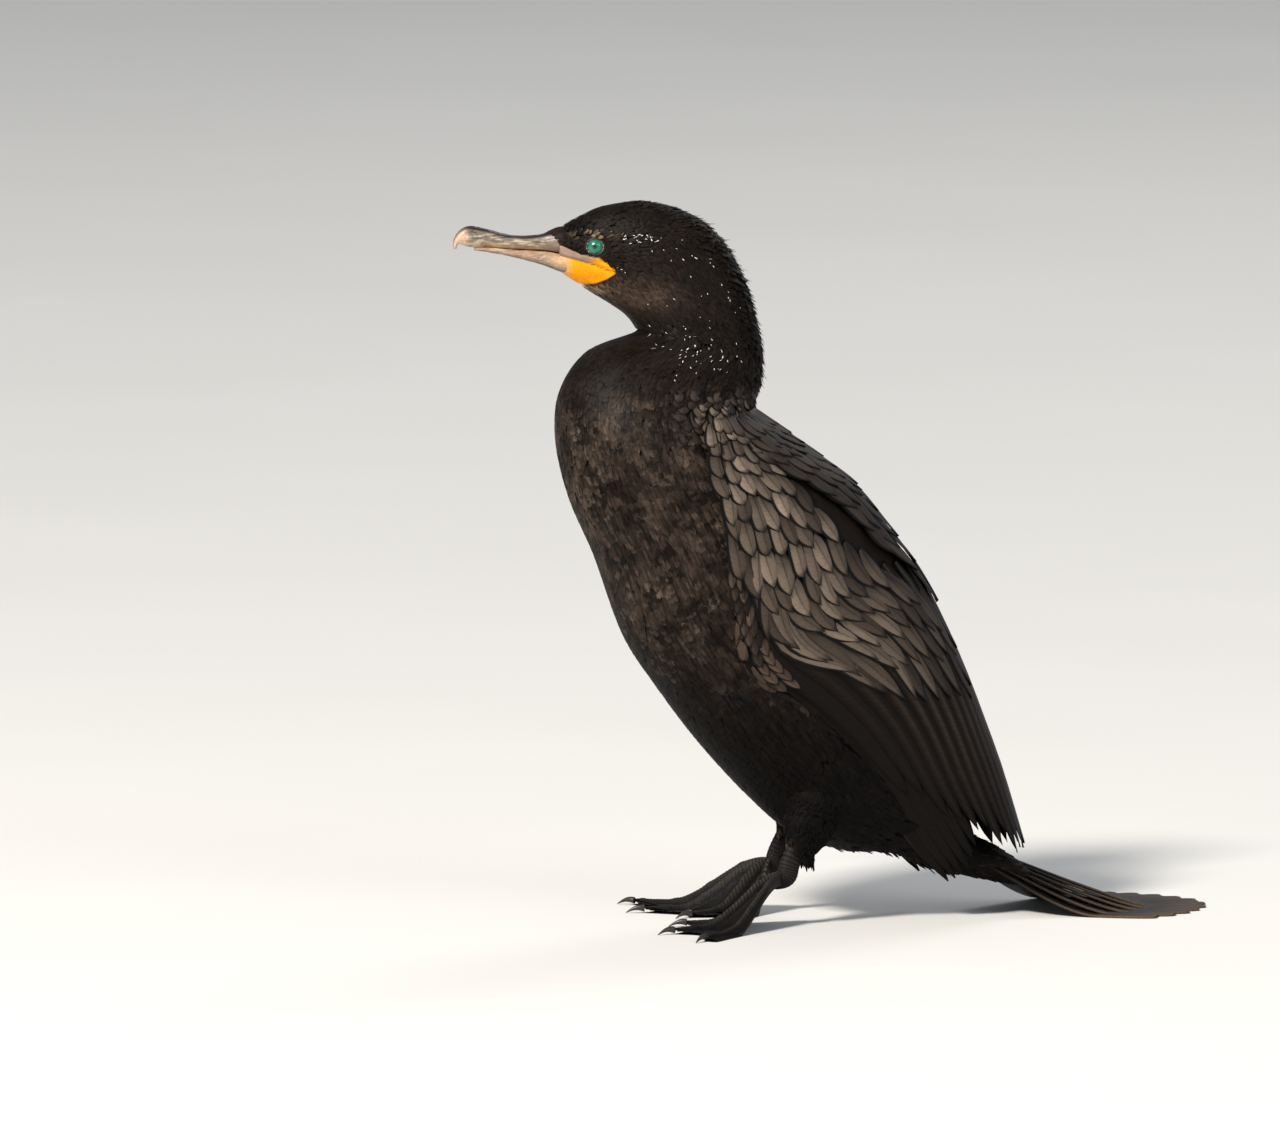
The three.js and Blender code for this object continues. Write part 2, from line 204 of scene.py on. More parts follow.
def wingSurface(side):
    def surface(place, share, grow=0.0):
        s = along(wingSections, place)
        angle = s[..., 5] + (s[..., 6] - s[..., 5]) * share
        shoulder = (1 - smooth(place, -0.3, 1.1)) * smooth(share, 0.3, 1.0)  # rounds the wing into the shoulder
        return placed(onSection(wingSections, place, angle, grow - 4.5 * shoulder) * np.array([side, 1, 1]))
    return surface


def headPlane(points):
    # a point's y and z in millimetres before the head was turned
    local = points / millimetre - np.array([0, originShift, 0])
    share = smooth(local[..., 2], 316, 345)
    plain = spun(local, -share)
    plain[..., 2] -= headTurn["dip"] * share * (plain[..., 1] - headTurn["pivotY"])
    return plain


def paint(mesh, colours):
    rgba = np.ones((len(mesh.vertices), 4), np.float32)
    rgba[:, :3] = np.clip(colours, 0, 1)
    mesh.color_attributes.new("coat", "FLOAT_COLOR", "POINT").data.foreach_set("color", rgba.ravel())


def addPiece(name, points, faces, material, colours=None, barbs=None, bakeMap=None):
    mesh = bpy.data.meshes.new(name)
    count, corners = faces.shape
    mesh.vertices.add(len(points))
    mesh.vertices.foreach_set("co", np.asarray(points, np.float32).ravel())
    mesh.loops.add(count * corners)
    mesh.loops.foreach_set("vertex_index", faces.astype(np.int32).ravel())
    mesh.polygons.add(count)
    mesh.polygons.foreach_set("loop_start", np.arange(0, count * corners, corners, dtype=np.int32))
    mesh.polygons.foreach_set("use_smooth", np.ones(count, bool))
    mesh.update(calc_edges=True)
    if colours is not None:
        paint(mesh, colours)
    if barbs is not None:
        mesh.attributes.new("barb", "FLOAT_VECTOR", "POINT").data.foreach_set(
            "vector", np.asarray(barbs, np.float32).ravel())
    if bakeMap is not None:
        layer = mesh.uv_layers.new(name="OFBake")
        layer.data.foreach_set("uv", np.asarray(bakeMap, np.float32)[faces.ravel()].ravel())
    mesh.materials.append(material)
    piece = bpy.data.objects.new(name, mesh)
    bpy.context.scene.collection.objects.link(piece)
    return piece


def gridFaces(rows, columns, closed=False):
    wide = columns if closed else columns - 1
    r, c = np.meshgrid(np.arange(rows - 1), np.arange(wide), indexing="ij")
    a = (r * columns + c).ravel()
    b = (r * columns + (c + 1) % columns).ravel()
    return np.stack([a, b, b + columns, a + columns], -1)


def loft(rings):
    # a closed shell from rings (count, sides, 3), capped by a small quad fan at each end
    count, sides = rings.shape[:2]
    points = [rings.reshape(-1, 3), rings[0].mean(0)[None], rings[-1].mean(0)[None]]
    faces = [gridFaces(count, sides, closed=True)]
    every = np.arange(0, sides, 2)
    for start, centre, turn in ((0, count * sides, -1), ((count - 1) * sides, count * sides + 1, 1)):
        fan = [np.full(len(every), centre), *(start + (every + k) % sides for k in (0, 1, 2))]
        faces.append(np.stack(fan, -1)[:, ::turn])
    return np.concatenate(points), np.concatenate(faces)


def gathered(parts):
    # many lofts' points and faces as one mesh's
    starts = np.cumsum([0] + [len(points) for points, faces in parts[:-1]])
    return (np.concatenate([points for points, faces in parts]),
            np.concatenate([faces + start for (points, faces), start in zip(parts, starts)]))


def capped(colours, first, last):
    # the colours of a loft's points, its two end points' last
    return np.concatenate([colours.reshape(-1, 3), first[None], last[None]])


def activate(piece):
    bpy.ops.object.select_all(action="DESELECT")
    piece.select_set(True)
    bpy.context.view_layer.objects.active = piece


def outward(piece):
    activate(piece)
    bpy.ops.object.mode_set(mode="EDIT")
    bpy.ops.mesh.select_all(action="SELECT")
    bpy.ops.mesh.normals_make_consistent(inside=False)
    bpy.ops.object.mode_set(mode="OBJECT")


def finishPiece(piece, slot, *nodes):
    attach(piece, "root")
    if nodes:
        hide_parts(*nodes)


def newMaterial(name):
    material = bpy.data.materials.new(name)
    material.use_nodes = True
    return material, material.node_tree.nodes["Principled BSDF"]


def addNode(material, kind, settings=(), **inputs):
    node = material.node_tree.nodes.new(kind)
    for key, value in dict(settings).items():
        setattr(node, key, value)
    for name, value in inputs.items():
        socket = node.inputs[int(name[1:])] if name[0] == "_" else node.inputs[name]
        if isinstance(value, bpy.types.NodeSocket):
            material.node_tree.links.new(value, socket)
        else:
            socket.default_value = value
    return node


def toneCoat(material, shader, pattern, span, tones):
    # the markings' colour, darker and lighter as a pattern goes through its span
    coat = addNode(material, "ShaderNodeAttribute", {"attribute_name": "coat"})
    level = addNode(material, "ShaderNodeMapRange", {}, Value=pattern, _1=span[0], _2=span[1], _3=tones[0],
                    _4=tones[1])
    tone = addNode(material, "ShaderNodeVectorMath", {"operation": "SCALE"}, _0=coat.outputs["Color"],
                   Scale=level.outputs["Result"])
    material.node_tree.links.new(tone.outputs[0], shader.inputs["Base Color"])


def setGloss(shader, **sockets):
    for name, value in sockets.items():
        shader.inputs[name.replace("_", " ")].default_value = value


def plumageMaterial(name, barbScale, barbLength, contrast, roughness, gloss, bumpHeight):
    # keratin vanes: fine barbs, so the light breaks into soft streaks
    material, shader = newMaterial(name)
    barb = addNode(material, "ShaderNodeAttribute", {"attribute_name": "barb"})
    fine = addNode(material, "ShaderNodeVectorMath", {"operation": "MULTIPLY"}, _0=barb.outputs["Vector"],
                   _1=(barbScale, barbLength, 1))
    streak = addNode(material, "ShaderNodeTexNoise", {"noise_dimensions": "3D"}, Vector=fine.outputs[0],
                     Scale=1.0, Detail=2.0, Roughness=0.6)
    toneCoat(material, shader, streak.outputs["Fac"], (0.3, 0.7), (1 - contrast, 1 + contrast))
    bump = addNode(material, "ShaderNodeBump", {}, Strength=0.6, Distance=bumpHeight * millimetre,
                   Height=streak.outputs["Fac"])
    material.node_tree.links.new(bump.outputs["Normal"], shader.inputs["Normal"])
    setGloss(shader, Roughness=roughness, IOR=1.54, Specular_IOR_Level=gloss)  # keratin's index
    return material


def skinnedMaterial(name, cell, height, roughness, gloss=0.35, coatWeight=0.0):
    # living skin or horn: its colour comes from the markings, its grain from small raised cells
    material, shader = newMaterial(name)
    links = material.node_tree.links
    place = addNode(material, "ShaderNodeTexCoord")
    cells = addNode(material, "ShaderNodeTexVoronoi", {"feature": "F1"}, Vector=place.outputs["Object"],
                    Scale=1 / (cell * millimetre))
    grain = addNode(material, "ShaderNodeTexNoise", {}, Vector=place.outputs["Object"],
                    Scale=1 / (cell * 2.5 * millimetre), Detail=3.0)
    both = addNode(material, "ShaderNodeMath", {"operation": "ADD"}, _0=cells.outputs["Distance"],
                   _1=grain.outputs["Fac"])
    toneCoat(material, shader, both.outputs[0], (0.4, 1.4), (0.82, 1.14))
    rough = addNode(material, "ShaderNodeMapRange", {}, Value=grain.outputs["Fac"], _1=0.3, _2=0.7,
                    _3=roughness - 0.08, _4=roughness + 0.1)
    bump = addNode(material, "ShaderNodeBump", {}, Strength=0.55, Distance=height * millimetre,
                   Height=both.outputs[0])
    links.new(rough.outputs["Result"], shader.inputs["Roughness"])
    links.new(bump.outputs["Normal"], shader.inputs["Normal"])
    setGloss(shader, IOR=1.45, Specular_IOR_Level=gloss, Coat_Weight=coatWeight, Coat_Roughness=0.25)
    return material


def speckledMaterial(name, dark, light, scale, detail, roughness):
    # one finish whose tone wanders between two near colours
    material, shader = newMaterial(name)
    place = addNode(material, "ShaderNodeTexCoord")
    noise = addNode(material, "ShaderNodeTexNoise", {}, Vector=place.outputs["Object"], Scale=scale,
                    Detail=detail)
    tone = addNode(material, "ShaderNodeMix", {"data_type": "RGBA"}, _0=noise.outputs["Fac"],
                   _6=(*linear(dark), 1), _7=(*linear(light), 1))
    material.node_tree.links.new(tone.outputs[2], shader.inputs["Base Color"])
    setGloss(shader, Roughness=roughness)
    return material


# level with the bird's breast and a little above it, its bill to the left
view = {"azimuth": 72, "elevation": 6, "distance": 14.0, "frameWidth": 0.6912, "right": -0.1023, "up": 0.1922,
        "sensor": 36}
az, el = math.radians(view["azimuth"]), math.radians(view["elevation"])
rightward = Vector((math.cos(az), math.sin(az), 0))
ahead = Vector((-math.sin(az) * math.cos(el), math.cos(az) * math.cos(el), -math.sin(el)))
upward = rightward.cross(ahead)
aim = rightward * view["right"] + upward * view["up"] + Vector((0, originShift * millimetre, 0))
bpy.ops.object.camera_add(location=aim - ahead * view["distance"])
camera = bpy.context.object
camera.rotation_mode = "QUATERNION"
camera.rotation_quaternion = ahead.to_track_quat("-Z", "Y")
camera.data.sensor_width = view["sensor"]
camera.data.lens = view["sensor"] * view["distance"] / view["frameWidth"]
camera.data.clip_end = 100
bpy.context.scene.camera = camera
print("camera placed")


# the markings of both the skin and the coat
plumage = palette(
    black="#0d0a08", brown="#241b15", breast="#473b33", cheek="#3a2e26", belly="#080605", fleck="#6c5f54",
    yellow="#e8940a", cream="#c9a27c", lore="#7d6c60", line="#4a2f16", chin="#7a6450",
)
# y and z of the bare face and throat's outline, and of the line where the bill's halves meet
bareEdge = np.array([
    [-200, 377], [-157, 376.4], [-151.5, 374.4], [-149.0, 369.6], [-142.5, 366.2], [-136.0, 364.0],
    [-129.3, 362.4], [-122.6, 357.7], [-120.4, 353.9], [-125.4, 350.6], [-130.5, 348.4], [-137.5, 347.2],
    [-145, 348.5], [-200, 352],
])
gapeLine = np.array([[-152, 364.6], [-142.4, 361.9], [-131, 358.6], [-119.8, 353.7]])


def insideOutline(y, z, outline):
    inside = np.zeros(np.shape(y), bool)
    for (y0, z0), (y1, z1) in zip(outline, np.roll(outline, -1, 0)):
        crosses = (z0 > z) != (z1 > z)
        inside ^= crosses & (y < (y1 - y0) * (z - z0) / (z1 - z0 + 1e-9) + y0)
    return inside


def bareShare(y, z):
    # 1 on the bare face and throat, 0 on feathered skin, with a soft edge between
    nearest = np.full(np.shape(y), 1e9)
    for (y0, z0), (y1, z1) in zip(bareEdge[:-1], bareEdge[1:]):
        t = np.clip(((y - y0) * (y1 - y0) + (z - z0) * (z1 - z0)) / ((y1 - y0) ** 2 + (z1 - z0) ** 2), 0, 1)
        nearest = np.minimum(nearest, np.hypot(y - y0 - t * (y1 - y0), z - z0 - t * (z1 - z0)))
    signed = np.where(insideOutline(y, z, bareEdge), nearest, -nearest)
    return smooth(signed, -0.35, 0.35)


def gapeHeight(y):
    return np.interp(y, gapeLine[:, 0], gapeLine[:, 1])


def markings(points, coat=True):
    plain = headPlane(points)
    y, z = plain[..., 1], plain[..., 2]
    large, small = patches(points, 13, 3.1), patches(points, 5.5, 9.7)
    breast = between(z, 120, 190, 285, 305) * (1 - smooth(y, -80, -20))
    cheek = hump(y, -108, 17) * hump(z, 347, 8) + hump(y, -124, 13) * hump(z, 346, 5)
    brow = hump(y, -140, 7) * hump(z, 377, 3.2)
    chin = hump(y, -136, 6) * hump(z, 346.5, 2) * (z < 350)
    colour = layered(
        plumage["black"], (plumage["brown"], 0.35 * large + 0.25 * small),
        (plumage["breast"], breast * smooth(large * 0.6 + small * 0.55, 0.35, 1.0) * 0.6),
        # the lower body blackest: partly the belly's own black, partly painted shade under the body
        (plumage["belly"], (1 - smooth(z, 90, 190)) * 0.9),
        (plumage["cheek"], np.clip(cheek, 0, 1) * smooth(z, 322, 336) * (0.4 + 0.8 * small)),
        (plumage["belly"], np.clip(brow * 1.4, 0, 1)), (plumage["chin"], np.clip(chin * 1.2, 0, 1)))
    if coat:  # the tufts at the bare skin's edge stay dark
        return colour
    bare = bareShare(y, z) * (z > 340)
    below = z < gapeHeight(y)
    yellow = np.where(below, smooth(y, -149, -142), smooth(y, -138, -130) * (1 - smooth(z, 361, 363.5)))
    skin = tint(tint(plumage["lore"], plumage["cream"], np.where(below, 1, 0.15)), plumage["yellow"], yellow)
    skin = skin * (0.86 + 0.28 * small)[..., None]
    skin = tint(skin, plumage["line"], 0.8 * hump(z, gapeHeight(y), 0.45) * smooth(y, -156, -150))
    return tint(colour, skin, bare)


skinSettings = {"coatDepth": 2.4, "neckDepth": 2.0, "headDepth": 1.3, "sides": 208}


def coatDepth(place):
    depth = mix(skinSettings["coatDepth"], skinSettings["neckDepth"], smooth(place, 11, 14))
    return mix(depth, skinSettings["headDepth"], smooth(place, 17, 20))


def skinRings(places, sides):
    place, angle = ringGrid(places, sides)
    flat = onSection(bodySections, place, angle)
    y, z = flat[..., 1], flat[..., 2]
    bare = bareShare(y, z) * ((place > 19) & (z > 340))
    grow = -coatDepth(place) * mix(1, 0.25, bare)
    near = np.hypot((y - eyeCentre[1]) / 1.15, z - eyeCentre[2])
    sideways = smooth(np.abs(np.sin(np.radians(angle))), 0.5, 0.9) * (place > 18.5)
    grow += sideways * (1.1 * hump(near, 6.2, 1.5) - 2.2 * np.exp(-(near / 3.2) ** 4))  # orbit
    line = hump(z, gapeHeight(y), 0.7) * between(y, -156, -150, -121, -118.5)
    grow += sideways * (-0.8 * line) * (y < -118)  # the gape's fold
    pouch = hump(y, -134, 9) * hump(z, 354, 4)
    grow += sideways * 0.9 * pouch
    lore = hump(z, 366, 2.2) * between(y, -152, -146, -140, -136)
    grow -= sideways * 0.7 * lore
    grow -= 0.55 * smooth(place, 23.4, 23.9)  # the head slides under the bill's horn
    return bodySurface(place, angle, grow)


places = np.concatenate([np.linspace(0, 13, 92)[:-1], np.linspace(13, 18, 60)[:-1],
                         np.linspace(18, len(bodySections) - 1, 150)])
skinMaterial = skinnedMaterial("feathered skin and bare throat skin, softly wrinkled", 0.9, 0.25, 0.6, 0.1)
skin = addPiece("skin", *loft(skinRings(places, skinSettings["sides"])), skinMaterial)


def wingShell(side, places, shares, cover):
    surface = wingSurface(side)
    place, share = np.meshgrid(places, shares, indexing="ij")
    thick = along(wingSections, place)[..., 7]
    plump = 0.35 + 0.65 * np.sqrt(np.clip(np.sin(np.pi * share), 0, 1))
    outer = surface(place, share, -cover)
    inner = surface(place, share, -np.maximum(1.6, thick * plump) - 1.2)
    return np.concatenate([outer, inner[:, ::-1]], 1)


legSettings = {"x": 33, "baseY": -36, "baseZ": 29, "turn": 9, "rightBack": 15}


def limbPoints(side, stations, places, angles, grow=0.0):
    stations, grow = np.array(stations, float), np.asarray(grow, float)[..., None]
    s = along(stations, places)
    ahead = along(stations, places + 0.02)[..., :3] - along(stations, places - 0.02)[..., :3]
    ahead = unit(ahead)
    forward = unit(np.cross(np.array([1.0, 0, 0]), ahead))
    sideways = np.cross(ahead, forward)
    a = np.radians(angles)[..., None]
    across, deep = sideways * (s[..., 3:4] + grow) * np.cos(a), forward * (s[..., 4:5] + grow) * np.sin(a)
    return placed((s[..., :3] + across + deep) * np.array([side, 1, 1]))


legX, baseZ = legSettings["x"], legSettings["baseZ"]


def footY(side):
    return legSettings["baseY"] + (legSettings["rightBack"] if side < 0 else 0)


# a limb's stations: x, y, z, half width and half depth
def thighStations(side):
    back = footY(side)
    return [[legX - 2, back + 9, baseZ + 12, 6.2, 8.2], [legX - 3.5, back + 13, baseZ + 21, 9.5, 13],
            [legX - 5, back + 18, baseZ + 34, 13, 15.5], [legX - 4.5, back + 22, baseZ + 50, 15.5, 17]]


def join(piece, other):
    boolean = piece.modifiers.new("join", "BOOLEAN")
    boolean.operation = "UNION"
    boolean.solver = "MANIFOLD"
    boolean.object = other
    activate(piece)
    bpy.ops.object.modifier_apply(modifier=boolean.name)
    bpy.data.objects.remove(other)


outward(skin)
for side in (1, -1):
    wingFlesh = wingShell(side, np.linspace(0.15, 8.3, 44), np.linspace(0.02, 0.98, 26), 2.6)
    thighFlesh = limbPoints(side, thighStations(side), *ringGrid(np.linspace(0, 3, 22), 40), -1.8)
    for name, rings in (("wingFlesh", wingFlesh), ("thighFlesh", thighFlesh)):
        part = addPiece(name, *loft(rings), skinMaterial)
        outward(part)
        join(skin, part)
print("skin", len(skin.data.polygons))

skinCo = np.zeros(len(skin.data.vertices) * 3, np.float32)
skin.data.vertices.foreach_get("co", skinCo)
paint(skin.data, markings(skinCo.reshape(-1, 3).astype(float), coat=False))
activate(skin)
bpy.ops.object.shade_smooth_by_angle(angle=math.radians(60))
finishPiece(skin, "plumage", "trunk", "lower_neck", "upper_neck", "head", "thigh_left", "thigh_right",
            "wing_left", "wing_right")


def metric(surface, place, across):
    # millimetres for each step of place and of across
    step = 0.04
    p = np.linalg.norm(surface(place + step, across) - surface(place - step, across), axis=-1) / (2 * step)
    span = 0.02 if np.max(np.abs(across)) <= 2 else 1.0
    a = np.linalg.norm(surface(place, across + span) - surface(place, across - span), axis=-1) / (2 * span)
    return np.maximum(p / millimetre, 4), np.maximum(a / millimetre, 0.05)


def vaneFaces(count, rows, columns):
    quads = gridFaces(rows, columns)
    return (quads[None] + (np.arange(count) * rows * columns)[:, None, None]).reshape(-1, 4)


def layVanes(surface, place, across, length, width, columns, rows, outline, heights, direction,
             slant=0.0, ragged=0.0, hairy=False):
    # each vane lies over the surface it grows from: columns run across it from -1 to 1, rows down it to 1
    count, u, v = len(place), np.asarray(columns, float), np.asarray(rows, float)
    along1, across1 = metric(surface, place, across)
    uu, vv = np.tile(u, len(v)), np.repeat(v, len(u))
    tip = np.where(vv > 0.99, 1 - ragged * random.random((count, len(uu))), 1.0)
    vAll = vv[None] * tip
    half = outline(vv)[None] * width[:, None] / 2
    sideShift = uu[None] * half + np.tan(np.radians(slant))[..., None] * vAll * length[:, None]
    p = place[:, None] + direction * vAll * length[:, None] / along1[:, None]
    a = across[:, None] + sideShift / across1[:, None]
    points = surface(p, a, heights(uu[None], vAll, np.arange(count)[:, None]))
    alongway, sideways = vAll * length[:, None], uu[None] * width[:, None] / 2 + 0 * vAll
    if hairy:  # the streaks run on from feather to feather, down the body
        barb = np.stack([a * 0.62, p * 24, random.random((count, 1)) * 0.5 + 0 * p], -1)
    else:
        number = (np.arange(count) * 3.7)[:, None] + 0 * vAll
        barb = np.stack([alongway + 0.8 * np.abs(sideways), sideways, number], -1)
    return points.reshape(-1, 3), vaneFaces(count, len(v), len(u)), barb.reshape(-1, 3), uu, vAll


def layScattered(surface, place, across, s, heights, outline, direction):
    # vanes whose length, width and slant vary about the settings' own
    count = len(place)
    return layVanes(surface, place, across, varied(s["length"], s["lengthSpread"], count),
                    varied(s["width"], s["widthSpread"], count), s["columns"], s["rows"], outline, heights,
                    direction, random.normal(0, s["slant"], count), s.get("ragged", 0), s.get("hairy", False))


def tuftMap(placeShare, acrossShare, uu, vAll, size=0.003):
    # each tuft's patch at its root's place on the unwrapped skin
    u = acrossShare[:, None] + uu[None] * size / 2
    v = placeShare[:, None] + (vAll - 0.5) * size
    return np.stack([np.clip(u, 0.001, 0.999), np.clip(v, 0.001, 0.999)], -1).reshape(-1, 2)


def bodyMap(p, a, uu, vAll):
    return tuftMap((p - p.min()) / np.ptp(p) * 0.98 + 0.01, a / 360 * 0.98 + 0.01, uu, vAll)


def scatterRows(surface, start, end, spacing, low=0, high=360, jitter=0.28):
    # staggered rows of roots, each about spacing millimetres from the next
    places, acrosses = [], []
    probe = np.linspace(low, high, 24)
    p, row = start, 0
    while p < end:
        alongScale, acrossScale = metric(surface, np.full_like(probe, p), probe)
        step = spacing / np.percentile(alongScale, 80)
        total = np.mean(acrossScale) * (high - low)
        count = max(3, int(total / spacing))
        shares = (np.arange(count) + 0.5 * (row % 2)) / count
        a = low + (high - low) * shares + random.normal(0, jitter * (high - low) / count, count)
        keep = random.random(count) < np.interp(a, probe, alongScale) * step / spacing * 1.05
        places.append(p + random.normal(0, jitter * step, keep.sum()))
        acrosses.append(a[keep])
        p, row = p + step, row + 1
    return np.concatenate(places), np.concatenate(acrosses)


# both wings' shells, with the right one's faces turned back, to find what they cover
coverPoints, coverFaces = [], []
for side in (1, -1):
    shell = wingShell(side, np.linspace(0.1, 9.6, 40), np.linspace(0, 1, 20), 0.0)
    coverFaces += [tuple(f) for f in gridFaces(*shell.shape[:2], closed=True)[:, ::side] + len(coverPoints)]
    coverPoints += [Vector(p) for p in shell.reshape(-1, 3)]
wingCover = BVHTree.FromPolygons(coverPoints, coverFaces)


def coveredByWing(points, reach):
    found = []
    for p in points:
        hit = wingCover.find_nearest(Vector(p))
        inside = (Vector(p) - hit[0]).dot(hit[1])
        found.append(hit[3] < reach * millimetre or (inside < 0 and hit[3] < 0.02))
    return np.array(found)


bodyPlumage = plumageMaterial("contour plumage, brown-black, hair-fine barbs", 1.0, 0.12, 0.7, 0.6, 0.05, 0.1)
neckPlumage = plumageMaterial("neck plumage, short and silky", 1.5, 0.13, 0.75, 0.5, 0.06, 0.08)

trunkFeathers = {
    "spacing": 2.8, "length": 13.5, "lengthSpread": 0.12, "width": 5.4, "widthSpread": 0.1, "slant": 11,
    "tip": 0.2, "uneven": 0.06, "ragged": 0.16, "edge": 0.95, "fringe": 1.5,
    "columns": [-1, -0.66, -0.33, 0, 0.33, 0.66, 1], "rows": [0, 0.35, 0.62, 0.82, 1],
}
place, angle = scatterRows(bodySurface, 0.5, 12.6, trunkFeathers["spacing"])
angle %= 360


def underMantle(place, angle):
    return (place > 10.4) & (place < 13.3) & (np.minimum(angle, 360 - angle) < 90 - 11 * (13 - place))


keep = ~coveredByWing(bodySurface(place, angle, -1.0), 0.6) & ~underMantle(place, angle) | (place < 3)
place, angle = place[keep], angle[keep]
tone = markings(bodySurface(place, angle))
size = 1 - 0.35 * smooth(place, 10.5, 12.6) - 0.15 * smooth(3 - place, 0, 3)
print("trunk feathers", len(place))


def contourOutline(v):
    return np.interp(v, [0, 0.15, 0.5, 0.8, 1], [0.45, 0.8, 1.0, 0.9, 0.6])


def addCoat(name, chosen, material, outline, s):
    # s: how high the tips lie, how uneven they are, how ragged, and how much darker at the edges
    p, a, colour = place[chosen], angle[chosen], tone[chosen]
    count = len(p)
    depth = coatDepth(p)
    lift = random.normal(0, s["uneven"], count) + stand[chosen]

    def heights(u, v, i):
        rise = 1 - (1 - np.clip(v, 0, 1)) ** 3
        return -depth[i] + 0.1 + (depth[i] + s["tip"]) * rise + lift[i] * v ** 3 - 0.1 * u ** 2

    points, faces, barbs, uu, vAll = layVanes(
        bodySurface, p, a, lengths[chosen], widths[chosen], s["columns"], s["rows"], outline, heights, -1,
        random.normal(0, s["slant"], count), s["ragged"], hairy=True)
    vary = random.normal(1, 0.12, count)[:, None, None]
    rim = smooth(np.abs(uu)[None] * 0.5 + vAll * 0.7, 0.8, 1.15)
    shade = colour[:, None] * vary * np.broadcast_to(mix(1.0, s["edge"], rim), vAll.shape)[..., None]
    roots = bodySurface(p, a)
    height = roots[:, 2] / millimetre
    pale = between(height, 110, 180, 270, 300) * random.random(count) ** 2.5
    pale = pale * smooth(patches(roots, 15, 6.3), 0.35, 0.65)
    shade = tint(shade, plumage["fleck"], pale[:, None] * 0.4 * smooth(vAll, 0.55, 0.95))
    piece = addPiece(name, points, faces, material, shade.reshape(-1, 3), barbs, bodyMap(p, a, uu, vAll))
    finishPiece(piece, "plumage")


lengths = size * varied(trunkFeathers["length"], trunkFeathers["lengthSpread"], len(place))
widths = size * varied(trunkFeathers["width"], trunkFeathers["widthSpread"], len(place))
fringe = smooth(-np.cos(np.radians(angle)), 0.3, 0.9) * between(place, 1.4, 2.2, 4.2, 5.2)
stand = trunkFeathers["fringe"] * fringe * np.abs(random.normal(0, 1, len(place)))
stand = stand * (random.random(len(place)) < 0.6)  # some of the belly's feathers stand off below
for name, low, high in (("breastFeathers", 9.6, 99), ("middleFeathers", 7.0, 9.6), ("flankFeathers", 4.4, 7.0),
                        ("bellyFeathers", -99, 4.4)):
    addCoat(name, (place > low) & (place <= high), bodyPlumage, contourOutline, trunkFeathers)

# neck and head: short hair-like tufts
neckTufts = {
    "spacing": 2.05, "headSpacing": 1.6, "length": 8.5, "lengthSpread": 0.14, "width": 3.6, "headWidth": 2.1,
    "widthSpread": 0.12, "slant": 11, "tip": 0.1, "uneven": 0.05, "ragged": 0.2, "edge": 0.95,
    "nape": 1.6, "collar": 1.8, "crest": 1.4, "lash": linear("#8a7355"),
    "columns": [-1, -0.5, 0, 0.5, 1], "rows": [0, 0.4, 0.75, 1],
}
place, angle = scatterRows(bodySurface, 12.2, 17.5, neckTufts["spacing"])
place2, angle2 = scatterRows(bodySurface, 17.4, 23.9, neckTufts["headSpacing"])
place, angle = np.concatenate([place, place2]), np.concatenate([angle, angle2]) % 360
roots = bodySurface(place, angle, -0.5)
y, z = headPlane(roots)[:, 1:].T
sideOn = np.abs(np.sin(np.radians(angle))) > 0.5
nearEye = (np.hypot((y - eyeCentre[1]) / 1.2, z - eyeCentre[2]) < 5.4) & sideOn
bare = insideOutline(y, z, bareEdge) & (place > 19.5) & (z > 340)
keep = ~nearEye & ~bare & ~coveredByWing(roots, 0.8) & ~underMantle(place, angle)
place, angle = place[keep], angle[keep]
tone = markings(bodySurface(place, angle))
y, z = headPlane(bodySurface(place, angle))[:, 1:].T
lash = hump(y, -135, 8) * hump(z, 374.6, 1.5) * (random.random(len(place)) < 0.5)
tone = tint(tone, neckTufts["lash"], np.clip(lash, 0, 1) * 0.8)  # tan tips over the eye
print("neck and head tufts", len(place))
headShare = smooth(place, 18, 21.5)
lengths = neckTufts["length"] * (1 - 0.45 * headShare) * (1 - 0.42 * smooth(place, 22, 23.8))
lengths = varied(lengths, neckTufts["lengthSpread"], len(place))
widths = mix(neckTufts["width"], neckTufts["headWidth"], headShare)
widths = varied(widths, neckTufts["widthSpread"], len(place))
behind = np.cos(np.radians(angle))
nape = smooth(behind, 0.55, 0.95) * between(place, 13.2, 15, 19.5, 21.5)
collar = hump(place, 13.6, 0.45) * (behind > 0.75)
crest = hump(place, 21.4, 0.35) * (behind > 0.9)
lengths = lengths * (1 + 0.5 * collar)
stand = nape * np.abs(random.normal(0, neckTufts["nape"], len(place)))
for ridge, high in ((collar, neckTufts["collar"]), (crest, neckTufts["crest"])):
    stand = stand + high * ridge * random.random(len(place))


def bladeOutline(v):
    return np.interp(v, [0, 0.3, 0.8, 1], [0.5, 1, 0.85, 0.5])


for name, chosen in (("neckTufts", place <= 17.4), ("headTufts", place > 17.4)):
    addCoat(name, chosen, neckPlumage, bladeOutline, neckTufts)

